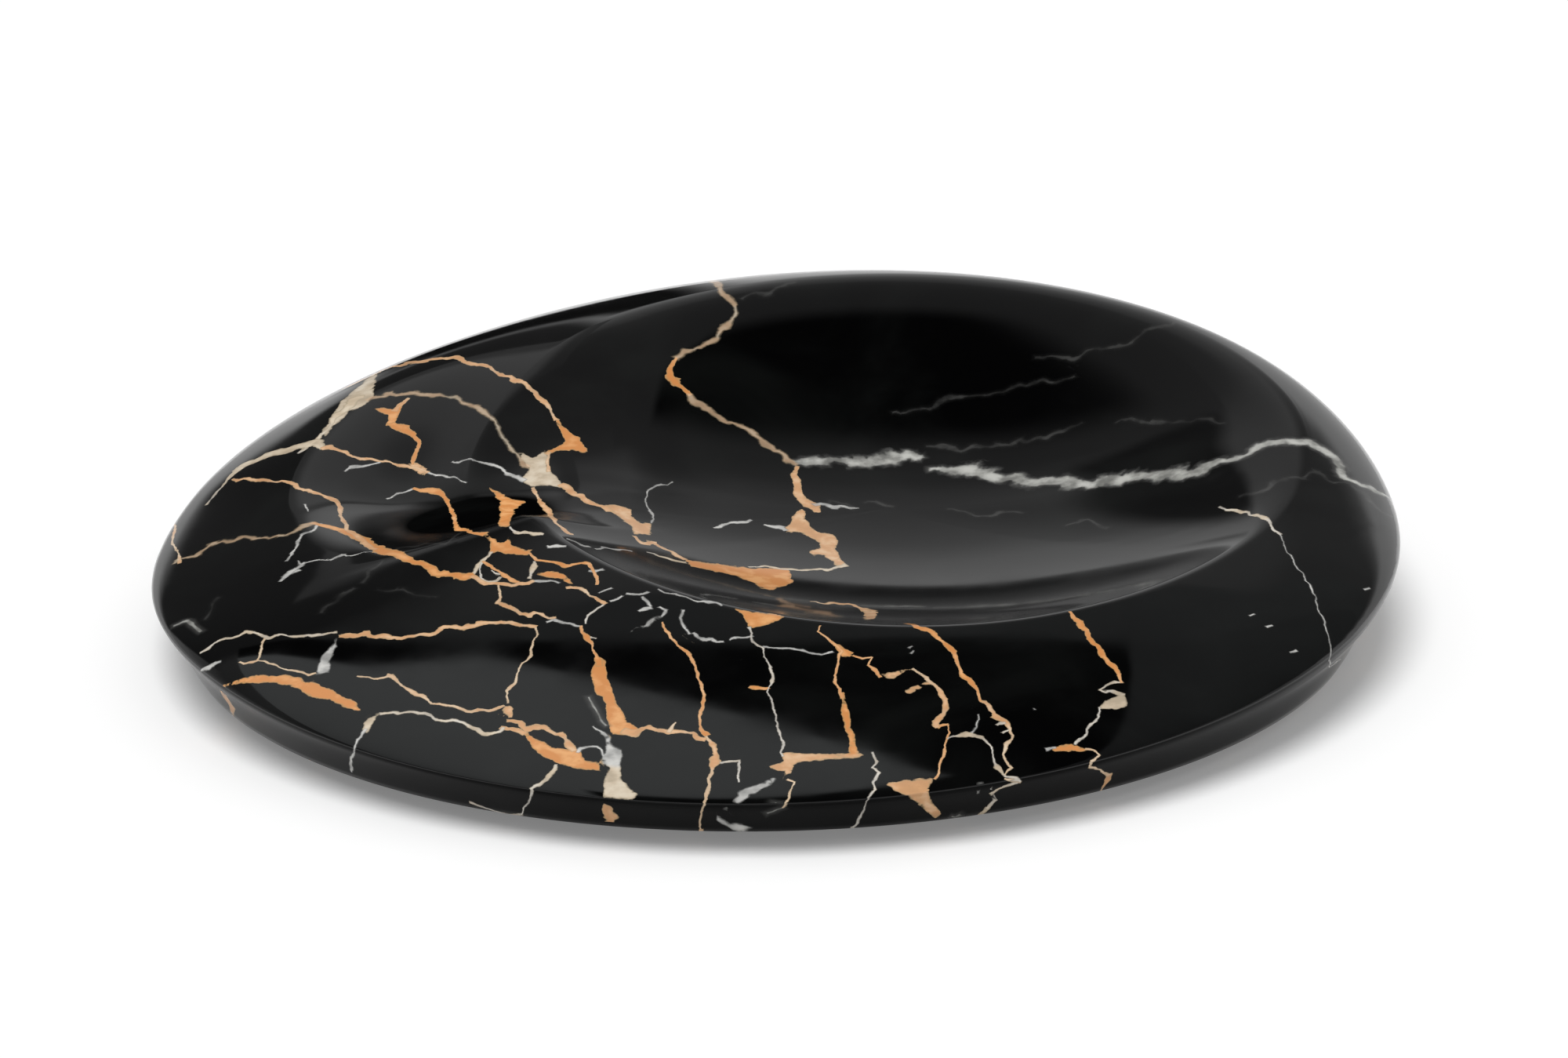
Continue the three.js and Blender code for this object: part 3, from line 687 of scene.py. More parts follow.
@dataclass
class VeinMap:
    """Draws veins on the stone's surface and writes them to the mesh as distance fields.

    Veins that run close together go to different layers, because one field holds only the nearest line.
    Lengths ending in _mm are millimetres, lengths ending in _px are photo pixels, and turns are in radians
    except for sharp_turn, which is in degrees. Each pair is a range that is drawn from.
    """

    stone: bpy.types.Object
    view: PhotoView
    seed: int = 7
    step_px: float = 5.0
    margin_px: float = 40.0
    sway: float = 0.085
    bend_share: Span = (0.35, 0.65)
    bend_swell: Span = (0.68, 1.36)
    slimmest: float = 0.7
    slim_px: float = 6.0
    broad_px: float = 11.0
    smear: float = 1.7
    sharp_turn: float = 72.0
    tangent_points: int = 2
    spacing_mm: float = 0.5
    stride_mm: float = 2.0
    fewest_strides: int = 3
    drift: float = 0.09
    turn_chance: float = 0.16
    turn: Span = (0.4, 0.95)
    fork_chance: float = 0.07
    fork_turn: Span = (0.6, 1.2)
    fork_half_mm: float = 0.22
    fork_after: int = 2
    fork_length: float = 0.6
    fork_width: float = 0.5
    stride_swell: Span = (0.55, 1.4)
    taper: float = 0.7
    lead_points: int = 8
    lead_half_mm: float = 0.25
    lead_strides: int = 4
    jump_mm: float = 9.0
    widest_mm: float = 3.0
    reach_mm: float = 1.0
    clearance_mm: float = 2.8
    patch_rim_mm: float = 0.4
    far_mm: float = 99.0
    threads: list[Thread] = field(default_factory=list)
    layers: list[list[Thread]] = field(default_factory=list)
    traced: dict[str, list[Thread]] = field(default_factory=dict)

    def __post_init__(self) -> None:
        """Builds the search tree of the stone's surface."""
        mesh = self.stone.data
        corners = [vertex.co.copy() for vertex in mesh.vertices]
        faces = [tuple(polygon.vertices) for polygon in mesh.polygons]
        self.tree = BVHTree.FromPolygons(corners, faces)
        self.dice = random.Random(self.seed)

    def hit(self, x: float, y: float) -> Vector | None:
        """Finds the point of the stone that a photo pixel shows, or nothing."""
        return self.tree.ray_cast(self.view.place, self.view.ray(x, y))[0]

    def snap(self, place: Vector) -> Vector:
        """Moves a point to the nearest point of the surface."""
        return self.tree.find_nearest(place)[0]

    def shows(self, place: Vector) -> bool:
        """Says whether the photograph shows a place of the surface."""
        seen = self.hit(*self.view.pixel(place))
        return seen is not None and (seen - place).length < self.spacing_mm * MM

    def pieces_of(self, vein: Vein) -> list[list[Point]]:
        """Cuts a vein's line at its sharp turns, so that each piece has two clear sides.

        Args:
            vein: the vein, in photo pixels.

        Returns:
            Its pieces, each a list of x, y and width.
        """
        pieces: list[list[Point]] = [[vein.line[0]]]
        for index in range(1, len(vein.line)):
            here = vein.line[index]
            pieces[-1].append(here)
            if index == len(vein.line) - 1:
                break
            before = Vector(here[:2]) - Vector(vein.line[index - 1][:2])
            after = Vector(vein.line[index + 1][:2]) - Vector(here[:2])
            if before.angle(after, 0.0) > math.radians(self.sharp_turn):
                pieces.append([here])
        return pieces

    def jagged(self, start: Point, end: Point) -> list[Point]:
        """Breaks a straight stretch into shorter ones that turn a little, as a crack in stone does.

        Args:
            start: x, y and width in photo pixels.
            end: the same at the other end.

        Returns:
            The points after the start, up to the end.
        """
        run = Vector(end[:2]) - Vector(start[:2])
        if run.length < 2 * self.step_px:
            return [end]
        share = self.dice.uniform(*self.bend_share)
        aside = self.dice.gauss(0.0, self.sway) * Vector((-run.y, run.x))
        at = Vector(start[:2]) + share * run + aside
        width = (start[2] + share * (end[2] - start[2])) * self.dice.uniform(*self.bend_swell)
        middle = (at.x, at.y, width)
        return self.jagged(start, middle) + self.jagged(middle, end)

    def swayed(self, piece: list[Point]) -> list[Point]:
        """Fills a line between its points with short, angular steps."""
        line: list[Point] = [piece[0]]
        for start, end in zip(piece, piece[1:]):
            line.extend(self.jagged(start, end))
        return line

    def half_width(self, line: list[Point], index: int, place: Vector) -> float:
        """Measures half a vein's width on the stone, with the picture's foreshortening undone.

        Args:
            line: the line in photo pixels.
            index: the point of the line.
            place: where that point lies on the stone.

        Returns:
            Half the width in metres.
        """
        x, y, width = line[index]
        ahead = Vector(line[min(index + 1, len(line) - 1)][:2])
        behind = Vector(line[max(index - 1, 0)][:2])
        run = (ahead - behind).normalized()
        side = Vector((-run.y, run.x)) * width / 2
        plain = width / 2 * (place - self.view.place).length / self.view.focal
        broad = max(0.0, min(1.0, (width - self.slim_px) / (self.broad_px - self.slim_px)))
        slimness = self.slimmest + (1 - self.slimmest) * broad
        one = self.hit(x + side.x, y + side.y)
        other = self.hit(x - side.x, y - side.y)
        if one is None or other is None:
            return slimness * plain
        return min(slimness * (one - other).length / 2, self.smear * plain, self.widest_mm * MM)

    def trace(self, vein: Vein) -> None:
        """Lays a photographed vein on the stone as one or more threads."""
        first = len(self.threads)
        for piece in self.pieces_of(vein):
            line = self.swayed(piece)
            thread = Thread(vein.kind, [], [])
            for index, (x, y, _) in enumerate(line):
                place = self.hit(x, y)
                if place is None:
                    continue
                if thread.points and (place - thread.points[-1]).length > self.jump_mm * MM:
                    self.keep(thread)
                    thread = Thread(vein.kind, [], [])
                thread.points.append(place)
                thread.halves.append(self.half_width(line, index, place))
            self.keep(thread)
        self.traced[vein.name] = self.threads[first:]

    def lead_on(self, name: str, at_end: bool, length_mm: float) -> None:
        """Leads a photographed vein over the edge, on to the side that the photograph doesn't show.

        Args:
            name: the vein's name.
            at_end: whether it goes on from its last point, or from its first.
            length_mm: how much further it runs.
        """
        threads = self.traced[name]
        if not threads:
            return
        thread = threads[-1 if at_end else 0]
        points = thread.points[::-1] if at_end else thread.points
        halves = thread.halves[::-1] if at_end else thread.halves
        heading = points[0] - points[min(self.lead_points, len(points) - 1)]
        half = max(halves[0], self.lead_half_mm * MM)
        self.wander(points[0], heading, length_mm, thread.kind, half, self.lead_strides)

    def either_way(self, turn: Span) -> float:
        """Draws a turn from a range, to one side or the other."""
        return self.dice.choice((-1.0, 1.0)) * self.dice.uniform(*turn)

    def start_hidden(self, vein: HiddenVein) -> None:
        """Lays a vein that starts on a hidden side."""
        turn = math.radians(vein.turn)
        outward = Vector((math.cos(turn), math.sin(turn), 0.0))
        along = Vector((-math.sin(turn), math.cos(turn), 0.0))
        height = Vector((0.0, 0.0, vein.height * MM))
        place = self.snap(self.view.middle + vein.radius * MM * outward + height)
        normal = self.tree.find_nearest(place)[1]
        lean = math.radians(vein.heading)
        heading = math.cos(lean) * along + math.sin(lean) * normal.cross(along)
        self.wander(place, heading, vein.length, vein.kind, vein.width * MM / 2, 0)

    def wander(self, place: Vector, heading: Vector, length_mm: float, kind: VeinKind, half: float,
               free_steps: int) -> None:
        """Lays a vein that runs in straight stretches and sharp turns, with thin branches.

        Args:
            place: where it starts, on the surface.
            heading: the direction it sets out in.
            length_mm: how far it runs.
            kind: what fills it.
            half: half its usual width in metres.
            free_steps: how many steps it may take where the photograph shows the stone.
        """
        thread = Thread(kind, [], [])
        count = max(self.fewest_strides, round(length_mm / self.stride_mm))
        for index in range(count):
            if index > free_steps and self.shows(place):
                break
            normal = self.tree.find_nearest(place)[1]
            swing = self.dice.gauss(0.0, self.drift)
            if self.dice.random() < self.turn_chance:
                swing += self.either_way(self.turn)
            heading = (heading - heading.dot(normal) * normal).normalized()
            may_fork = half > self.fork_half_mm * MM and index > self.fork_after
            if may_fork and self.dice.random() < self.fork_chance:
                fork = Matrix.Rotation(self.either_way(self.fork_turn), 3, normal) @ heading
                rest = length_mm * (1 - index / count)
                self.wander(place, fork, self.fork_length * rest, kind, self.fork_width * half, 0)
            heading = Matrix.Rotation(swing, 3, normal) @ heading
            thinning = 1 - self.taper * (index / count) ** 2
            thread.points.append(place)
            thread.halves.append(half * self.dice.uniform(*self.stride_swell) * thinning)
            place = self.snap(place + self.stride_mm * MM * heading)
        self.keep(thread)

    def keep(self, thread: Thread) -> None:
        """Evens out a thread's points and adds it to the map."""
        if len(thread.points) < 2:
            return
        even = Thread(thread.kind, [thread.points[0]], [thread.halves[0]])
        for index in range(1, len(thread.points)):
            run = thread.points[index] - thread.points[index - 1]
            steps = max(1, math.ceil(run.length / (self.spacing_mm * MM)))
            for step in range(1, steps + 1):
                share = step / steps
                half = thread.halves[index - 1] * (1 - share) + thread.halves[index] * share
                even.points.append(self.snap(thread.points[index - 1] + share * run))
                even.halves.append(half)
        self.threads.append(even)

    def sort_into_layers(self) -> None:
        """Puts each thread in the first layer where it keeps clear of the others, longest first."""
        fields: list[tuple[np.ndarray, np.ndarray]] = []
        for thread in sorted(self.threads, key=lambda item: -len(item.points)):
            points = np.array([tuple(point) for point in thread.points])
            halves = np.array(thread.halves)
            for layer, (others, widths) in enumerate(fields):
                apart = np.linalg.norm(points[:, None, :] - others[None, :, :], axis=2)
                apart -= halves[:, None] + widths[None, :]
                if apart.min() > self.clearance_mm * MM:
                    fields[layer] = (np.vstack((others, points)), np.concatenate((widths, halves)))
                    self.layers[layer].append(thread)
                    break
            else:
                fields.append((points, halves))
                self.layers.append([thread])

    def write_layer(self, number: int, lines: np.ndarray, tones: np.ndarray) -> None:
        """Writes one layer's two vectors to the mesh."""
        for name, values in ((f"vein_line_{number}", lines), (f"vein_tone_{number}", tones)):
            attribute = self.stone.data.attributes.new(name, "FLOAT_VECTOR", "POINT")
            attribute.data.foreach_set("vector", values.astype(np.float32).ravel())

    def write_threads(self, number: int, layer: list[Thread]) -> None:
        """Writes a layer of threads to the mesh as two vectors for each vertex, in millimetres.

        The first holds the distance to the nearest line with its side as sign, the plain distance and half
        the line's width. The second holds the vein's tint, how far the place is beyond the line's end, and
        the vein's strength.

        Args:
            number: the layer's number.
            layer: its threads.
        """
        mesh = self.stone.data
        stops: list[tuple[Vector, Vector, float, float, float, VeinLook]] = []
        for thread in layer:
            arcs = [0.0]
            for one, two in zip(thread.points, thread.points[1:]):
                arcs.append(arcs[-1] + (two - one).length)
            look = VEIN_LOOKS[thread.kind]
            last = len(thread.points) - 1
            for index, point in enumerate(thread.points):
                ahead = thread.points[min(index + self.tangent_points, last)]
                run = (ahead - thread.points[max(index - self.tangent_points, 0)]).normalized()
                stops.append((point, run, arcs[index], arcs[-1], thread.halves[index], look))
        nearest = KDTree(len(stops))
        for index, stop in enumerate(stops):
            nearest.insert(stop[0], index)
        nearest.balance()
        lines = np.zeros((len(mesh.vertices), 3))
        tones = np.zeros((len(mesh.vertices), 3))
        for vertex in mesh.vertices:
            place, index, distance = nearest.find(vertex.co)
            _, run, arc, whole, half, look = stops[index]
            away = vertex.co - place
            side = vertex.normal.cross(run).normalized()
            walked = arc + run.dot(away)
            beyond = max(-walked, walked - whole)
            lines[vertex.index] = (side.dot(away) / MM, distance / MM, half / MM)
            tones[vertex.index] = (look.tint, beyond / MM, look.strength)
        self.write_layer(number, lines, tones)

    def write_patches(self, number: int, patches: tuple[Patch, ...]) -> None:
        """Writes the filled patches to the mesh as one layer, in the same two vectors.

        Args:
            number: the layer's number.
            patches: the patches, which keep clear of each other.
        """
        mesh = self.stone.data
        lines = np.tile((self.far_mm, 0.0, self.patch_rim_mm), (len(mesh.vertices), 1))
        tones = np.tile((0.0, -self.far_mm, 0.0), (len(mesh.vertices), 1))
        for vertex in mesh.vertices:
            x, y = self.view.pixel(vertex.co)
            near = [patch for patch in patches if patch.near(x, y, self.margin_px)]
            if not near or not self.shows(vertex.co):
                continue
            patch = min(near, key=lambda item: item.gap(x, y))
            scale = (vertex.co - self.view.place).length / self.view.focal / MM
            look = VEIN_LOOKS[patch.kind]
            lines[vertex.index, 0] = max(0.0, self.patch_rim_mm + scale * patch.gap(x, y))
            tones[vertex.index] = (look.tint, -self.far_mm, look.strength)
        self.write_layer(number, lines, tones)

    def write(self, patches: tuple[Patch, ...]) -> int:
        """Writes every layer to the mesh.

        Args:
            patches: the filled patches, which make the last layer.

        Returns:
            The number of layers.
        """
        self.sort_into_layers()
        for number, layer in enumerate(self.layers):
            self.write_threads(number, layer)
        self.write_patches(len(self.layers), patches)
        return len(self.layers) + 1


@dataclass(frozen=True)
class Wiring:
    """A shorthand for adding and linking the nodes of one node tree."""

    tree: bpy.types.NodeTree
    mix_inputs: tuple[int, int, int] = (0, 6, 7)
    mix_output: int = 2

    def add(self, kind: str, **settings: object) -> bpy.types.Node:
        """Adds a node and sets its properties.

        Args:
            kind: the node's type name.
            settings: properties of the node, by name.

        Returns:
            The new node.
        """
        node = self.tree.nodes.new(kind)
        for name, value in settings.items():
            setattr(node, name, value)
        return node

    def feed(self, socket: Socket, value: Socket | float | tuple) -> None:
        """Links a socket to another one, or sets it to a plain value."""
        if isinstance(value, bpy.types.NodeSocket):
            self.tree.links.new(value, socket)
        else:
            socket.default_value = value

    def math(self, operation: str, *values: Socket | float, clamp: bool = False) -> Socket:
        """Adds one step of arithmetic.

        Args:
            operation: the Math node's operation.
            values: its inputs in order.
            clamp: whether the result stays between 0 and 1.

        Returns:
            The result.
        """
        node = self.add("ShaderNodeMath", operation=operation, use_clamp=clamp)
        for index, value in enumerate(values):
            self.feed(node.inputs[index], value)
        return node.outputs[0]

    def remap(self, value: Socket, low: Socket | float, high: Socket | float,
              at_low: float = 0.0, at_high: float = 1.0) -> Socket:
        """Turns a range smoothly into another range.

        Args:
            value: what is turned.
            low: the value that gives at_low.
            high: the value that gives at_high.
            at_low: the result at or below low.
            at_high: the result at or above high.

        Returns:
            The result.
        """
        node = self.add("ShaderNodeMapRange", interpolation_type="SMOOTHSTEP")
        for index, item in enumerate((value, low, high, at_low, at_high)):
            self.feed(node.inputs[index], item)
        return node.outputs[0]

    def product(self, *values: Socket | float) -> Socket:
        """Multiplies values."""
        result = values[0]
        for value in values[1:]:
            result = self.math("MULTIPLY", result, value)
        return result

    def left_of_one(self, share: Socket) -> Socket:
        """Gives what a share leaves of one."""
        return self.math("SUBTRACT", 1.0, share)

    def noise(self, where: Socket, size: float, detail: float, distortion: float = 0.0) -> Socket:
        """Adds a cloudy noise.

        Args:
            where: the coordinates.
            size: the usual size of a cloud, in metres.
            detail: how many finer steps it has.
            distortion: how much it is stirred.

        Returns:
            A value that is usually between 0.3 and 0.7.
        """
        node = self.add("ShaderNodeTexNoise")
        self.feed(node.inputs["Vector"], where)
        node.inputs["Scale"].default_value = 1.0 / size
        node.inputs["Detail"].default_value = detail
        node.inputs["Distortion"].default_value = distortion
        return node.outputs["Fac"]

    def ramp(self, value: Socket, stops: tuple[tuple[float, Colour], ...]) -> Socket:
        """Adds a colour ramp.

        Args:
            value: the place on the ramp, from 0 to 1.
            stops: places and colours in rising order.

        Returns:
            The colour.
        """
        node = self.add("ShaderNodeValToRGB")
        elements = node.color_ramp.elements
        while len(elements) < len(stops):
            elements.new(1.0)
        for element, (place, colour) in zip(elements, stops):
            element.position = place
            element.color = colour
        self.feed(node.inputs[0], value)
        return node.outputs[0]

    def mix(self, share: Socket | float, under: Socket | Colour, over: Socket | Colour) -> Socket:
        """Lays one colour over another.

        Args:
            share: how much of the upper colour shows.
            under: the lower colour.
            over: the upper colour.

        Returns:
            The mixed colour.
        """
        node = self.add("ShaderNodeMix", data_type="RGBA")
        for index, value in zip(self.mix_inputs, (share, under, over)):
            self.feed(node.inputs[index], value)
        return node.outputs[self.mix_output]

    def attribute(self, name: str) -> Socket:
        """Reads a vector attribute of the mesh."""
        return self.add("ShaderNodeAttribute", attribute_name=name).outputs["Vector"]

    def split(self, vector: Socket) -> tuple[Socket, Socket, Socket]:
        """Takes a vector apart into its three numbers."""
        node = self.add("ShaderNodeSeparateXYZ")
        self.feed(node.inputs[0], vector)
        return node.outputs[0], node.outputs[1], node.outputs[2]


def grey(level: float) -> Colour:
    """Gives an opaque grey."""
    return (level, level, level, 1.0)


def blank_material(name: str) -> tuple[bpy.types.Material, Wiring, Socket]:
    """Makes a material with nothing but its output.

    Args:
        name: the material's name.

    Returns:
        The material, its wiring and the socket for its surface.
    """
    material = bpy.data.materials.new(name)
    material.use_nodes = True
    wiring = Wiring(material.node_tree)
    material.node_tree.nodes.clear()
    return material, wiring, wiring.add("ShaderNodeOutputMaterial").inputs["Surface"]


def fresh_material(name: str) -> tuple[bpy.types.Material, Wiring, bpy.types.Node, Socket]:
    """Makes a material with a bare shader.

    Args:
        name: the material's name.

    Returns:
        The material, its wiring, its shader node and the object coordinates.
    """
    material, wiring, surface = blank_material(name)
    shader = wiring.add("ShaderNodeBsdfPrincipled")
    wiring.feed(surface, shader.outputs[0])
    where = wiring.add("ShaderNodeTexCoord").outputs["Object"]
    return material, wiring, shader, where


@dataclass(frozen=True)
class PolishedMarble:
    """Black marble with gold and white veins, polished to a wet gloss.

    A noise is given by its size in metres and its detail. A pair is the range over which something changes.
    Lengths ending in _mm are millimetres, and the rest hollow's place and radii are in metres.
    """

    layers: int
    reach_mm: float
    black: Colour = (0.0012, 0.0012, 0.0013, 1.0)
    charcoal: Colour = (0.0046, 0.0050, 0.0048, 1.0)
    speck: Colour = (0.40, 0.40, 0.38, 1.0)
    cloud_noise: Noise = (0.028, 6.0, 0.6)
    cloud_range: Span = (0.44, 0.76)
    speck_cells: float = 130.0
    speck_rarity: float = 0.88
    speck_range: Span = (0.012, 0.024)
    speck_strength: float = 0.8
    slow_bend: Noise = (0.0038, 2.0, 0.45)
    fast_bend: Noise = (0.0011, 4.0, 0.5)
    middle_noise: float = 0.5
    wobble_noise: Noise = (0.0027, 3.0)
    wobble_range: Span = (0.25, 0.75)
    wobble: Span = (0.6, 1.4)
    grain_noise: Noise = (0.0034, 4.0)
    wear_noise: Noise = (0.012, 4.0)
    wear_range: Span = (0.3, 0.7)
    roughness: Span = (0.04, 0.09)
    vein_roughness: float = 0.05
    rest_middle: Point = (-0.047, -0.005, 0.017)
    rest_radii: Span = (0.011, 0.025)
    rest_dullness: float = 0.1
    rest_gloss: float = 0.0
    facing_range: Span = (-0.2, 0.3)
    gloss: Span = (0.05, 0.5)
    refraction: float = 1.5
    softest_mm: float = 1.0
    thinnest_mm: float = 0.05
    end_growth: float = 0.4
    straight_tints: Span = (0.6, 0.8)
    straight_bend: float = 0.35
    break_range: Span = (0.32, 0.52)
    break_strength: float = 0.45
    warm_tints: Span = (0.4, 0.6)
    pale_halves_mm: Span = (0.15, 0.45)
    pale_shift: float = 0.15
    core_range: Span = (0.0, 0.5)
    bright_range: Span = (0.1, 0.8)
    bright_grain: Span = (0.44, 0.66)
    group_inputs: tuple[tuple[str, str], ...] = (
        ("Under", "NodeSocketColor"),
        ("Line", "NodeSocketVector"),
        ("Tone", "NodeSocketVector"),
        ("Wiggle", "NodeSocketFloat"),
        ("Wobble", "NodeSocketFloat"),
        ("Grain", "NodeSocketFloat"),
        ("Covered", "NodeSocketFloat"),
    )
    group_outputs: tuple[tuple[str, str], ...] = (
        ("Colour", "NodeSocketColor"),
        ("Covered", "NodeSocketFloat"),
    )
    edge_stops: tuple[tuple[float, Colour], ...] = (
        (0.0, (0.52, 0.30, 0.125, 1.0)),
        (0.2, (0.56, 0.38, 0.21, 1.0)),
        (0.4, (0.48, 0.40, 0.285, 1.0)),
        (0.6, (0.26, 0.26, 0.25, 1.0)),
        (0.8, (0.10, 0.10, 0.096, 1.0)),
        (1.0, (0.03, 0.03, 0.029, 1.0)),
    )
    core_stops: tuple[tuple[float, Colour], ...] = (
        (0.0, (0.70, 0.285, 0.088, 1.0)),
        (0.2, (0.74, 0.40, 0.195, 1.0)),
        (0.4, (0.70, 0.57, 0.41, 1.0)),
        (0.6, (0.56, 0.555, 0.535, 1.0)),
        (0.8, (0.36, 0.36, 0.335, 1.0)),
        (1.0, (0.085, 0.085, 0.082, 1.0)),
    )
    bright_stops: tuple[tuple[float, Colour], ...] = (
        (0.0, (0.84, 0.42, 0.165, 1.0)),
        (0.2, (0.86, 0.57, 0.34, 1.0)),
        (0.4, (0.83, 0.72, 0.56, 1.0)),
        (0.6, (0.80, 0.79, 0.755, 1.0)),
        (0.8, (0.62, 0.62, 0.58, 1.0)),
        (1.0, (0.16, 0.16, 0.155, 1.0)),
    )

    def soft_stops(self) -> tuple[tuple[float, Colour], ...]:
        """Gives the softness of each kind of vein as a grey ramp, in shares of the softest edge."""
        looks = sorted(VEIN_LOOKS.values(), key=lambda look: look.tint)
        return tuple((look.tint, grey(look.softness / self.softest_mm)) for look in looks)

    def vein_group(self) -> bpy.types.NodeTree:
        """Makes the node group that lays one layer of veins over a colour.

        Returns:
            The group.
        """
        tree = bpy.data.node_groups.new("vein_layer", "ShaderNodeTree")
        for way, sockets in (("INPUT", self.group_inputs), ("OUTPUT", self.group_outputs)):
            for name, kind in sockets:
                tree.interface.new_socket(name=name, in_out=way, socket_type=kind)
        wiring = Wiring(tree)
        given = wiring.add("NodeGroupInput").outputs
        result = wiring.add("NodeGroupOutput").inputs
        signed, plain, half = wiring.split(given["Line"])
        tint, beyond, strength = wiring.split(given["Tone"])
        softness = wiring.product(wiring.ramp(tint, self.soft_stops()), self.softest_mm)
        loose = wiring.remap(tint, *self.straight_tints, 1.0, self.straight_bend)
        across = wiring.math("MULTIPLY_ADD", given["Wiggle"], loose, signed)
        near = wiring.math("SUBTRACT", plain, self.reach_mm)
        distance = wiring.math("MAXIMUM", wiring.math("ABSOLUTE", across), near)
        past_end = wiring.math("MULTIPLY_ADD", half, self.end_growth, beyond)
        distance = wiring.math("MAXIMUM", distance, past_end)
        width = wiring.product(half, given["Wobble"])
        inner = wiring.math("SUBTRACT", width, softness)
        outer = wiring.math("ADD", width, softness)
        shape = wiring.remap(distance, inner, outer, 1.0, 0.0)
        breaks = wiring.remap(given["Grain"], *self.break_range, self.break_strength, 1.0)
        thin = wiring.math("MULTIPLY_ADD", tint, wiring.math("SUBTRACT", breaks, 1.0), 1.0)
        cover = wiring.math("MULTIPLY", wiring.product(shape, strength), thin, clamp=True)
        share = wiring.math("DIVIDE", distance, wiring.math("MAXIMUM", width, self.thinnest_mm))
        depth = wiring.math("SUBTRACT", 1.0, share, clamp=True)
        warm = wiring.remap(tint, *self.warm_tints, 1.0, 0.0)
        fading = wiring.remap(half, *self.pale_halves_mm, self.pale_shift, 0.0)
        shade = wiring.math("MULTIPLY_ADD", warm, fading, tint)
        edge = wiring.ramp(shade, self.edge_stops)
        core = wiring.ramp(shade, self.core_stops)
        body = wiring.mix(wiring.remap(depth, *self.core_range), edge, core)
        lit = wiring.remap(given["Grain"], *self.bright_grain)
        pale = wiring.product(wiring.remap(depth, *self.bright_range), lit)
        colour = wiring.mix(pale, body, wiring.ramp(shade, self.bright_stops))
        wiring.feed(result["Colour"], wiring.mix(cover, given["Under"], colour))
        wiring.feed(result["Covered"], wiring.math("MAXIMUM", cover, given["Covered"]))
        return tree

    def ground(self, wiring: Wiring, where: Socket) -> Socket:
        """Makes the stone between the veins: faint clouds and a few bright specks.

        Args:
            wiring: the material's wiring.
            where: the object coordinates.

        Returns:
            The colour.
        """
        cloud = wiring.noise(where, *self.cloud_noise)
        colour = wiring.mix(wiring.remap(cloud, *self.cloud_range), self.black, self.charcoal)
        cells = wiring.add("ShaderNodeTexVoronoi")
        wiring.feed(cells.inputs["Vector"], where)
        cells.inputs["Scale"].default_value = self.speck_cells
        lot = wiring.split(cells.outputs["Color"])[0]
        chosen = wiring.math("GREATER_THAN", lot, self.speck_rarity)
        dot = wiring.remap(cells.outputs["Distance"], *self.speck_range, self.speck_strength, 0.0)
        return wiring.mix(wiring.product(dot, chosen), colour, self.speck)

    def bend(self, wiring: Wiring, where: Socket, noise: Noise) -> Socket:
        """Bends the veins sideways, by a noise's size, its detail and its reach in millimetres."""
        size, detail, reach = noise
        swing = wiring.math("SUBTRACT", wiring.noise(where, size, detail), self.middle_noise)
        return wiring.product(swing, reach)

    def polish(self, wiring: Wiring, shader: bpy.types.Node, where: Socket, covered: Socket) -> None:
        """Sets how rough and how glossy the stone is.

        Args:
            wiring: the material's wiring.
            shader: its shader.
            where: the object coordinates.
            covered: how much of the stone the veins cover.
        """
        wear = wiring.remap(wiring.noise(where, *self.wear_noise), *self.wear_range, *self.roughness)
        away = wiring.add("ShaderNodeVectorMath", operation="DISTANCE")
        wiring.feed(away.inputs[0], where)
        away.inputs[1].default_value = self.rest_middle
        from_rest = away.outputs["Value"]
        wear = wiring.math("ADD", wear, wiring.remap(from_rest, *self.rest_radii, self.rest_dullness, 0.0))
        rough = wiring.math("MULTIPLY_ADD", covered, self.vein_roughness, wear)
        wiring.feed(shader.inputs["Roughness"], rough)
        facing_up = wiring.split(wiring.add("ShaderNodeTexCoord").outputs["Normal"])[2]
        gloss = wiring.remap(facing_up, *self.facing_range, *self.gloss)
        rest_gloss = wiring.remap(from_rest, *self.rest_radii, self.rest_gloss, 1.0)
        wiring.feed(shader.inputs["Specular IOR Level"], wiring.product(gloss, rest_gloss))
        shader.inputs["IOR"].default_value = self.refraction

    def build(self) -> bpy.types.Material:
        """Makes the material.

        Returns:
            The marble.
        """
        material, wiring, shader, where = fresh_material("polished_marble")
        slow = self.bend(wiring, where, self.slow_bend)
        fast = self.bend(wiring, where, self.fast_bend)
        swell = wiring.noise(where, *self.wobble_noise)
        shared = {
            "Wiggle": wiring.math("ADD", slow, fast),
            "Wobble": wiring.remap(swell, *self.wobble_range, *self.wobble),
            "Grain": wiring.noise(where, *self.grain_noise),
        }
        colour = self.ground(wiring, where)
        covered: Socket | float = 0.0
        tree = self.vein_group()
        for number in reversed(range(self.layers)):
            layer = wiring.add("ShaderNodeGroup", node_tree=tree)
            own = {
                "Under": colour,
                "Line": wiring.attribute(f"vein_line_{number}"),
                "Tone": wiring.attribute(f"vein_tone_{number}"),
                "Covered": covered,
            }
            for name, value in (own | shared).items():
                wiring.feed(layer.inputs[name], value)
            colour = layer.outputs["Colour"]
            covered = layer.outputs["Covered"]
        wiring.feed(shader.inputs["Base Color"], colour)
        self.polish(wiring, shader, where, covered)
        return material


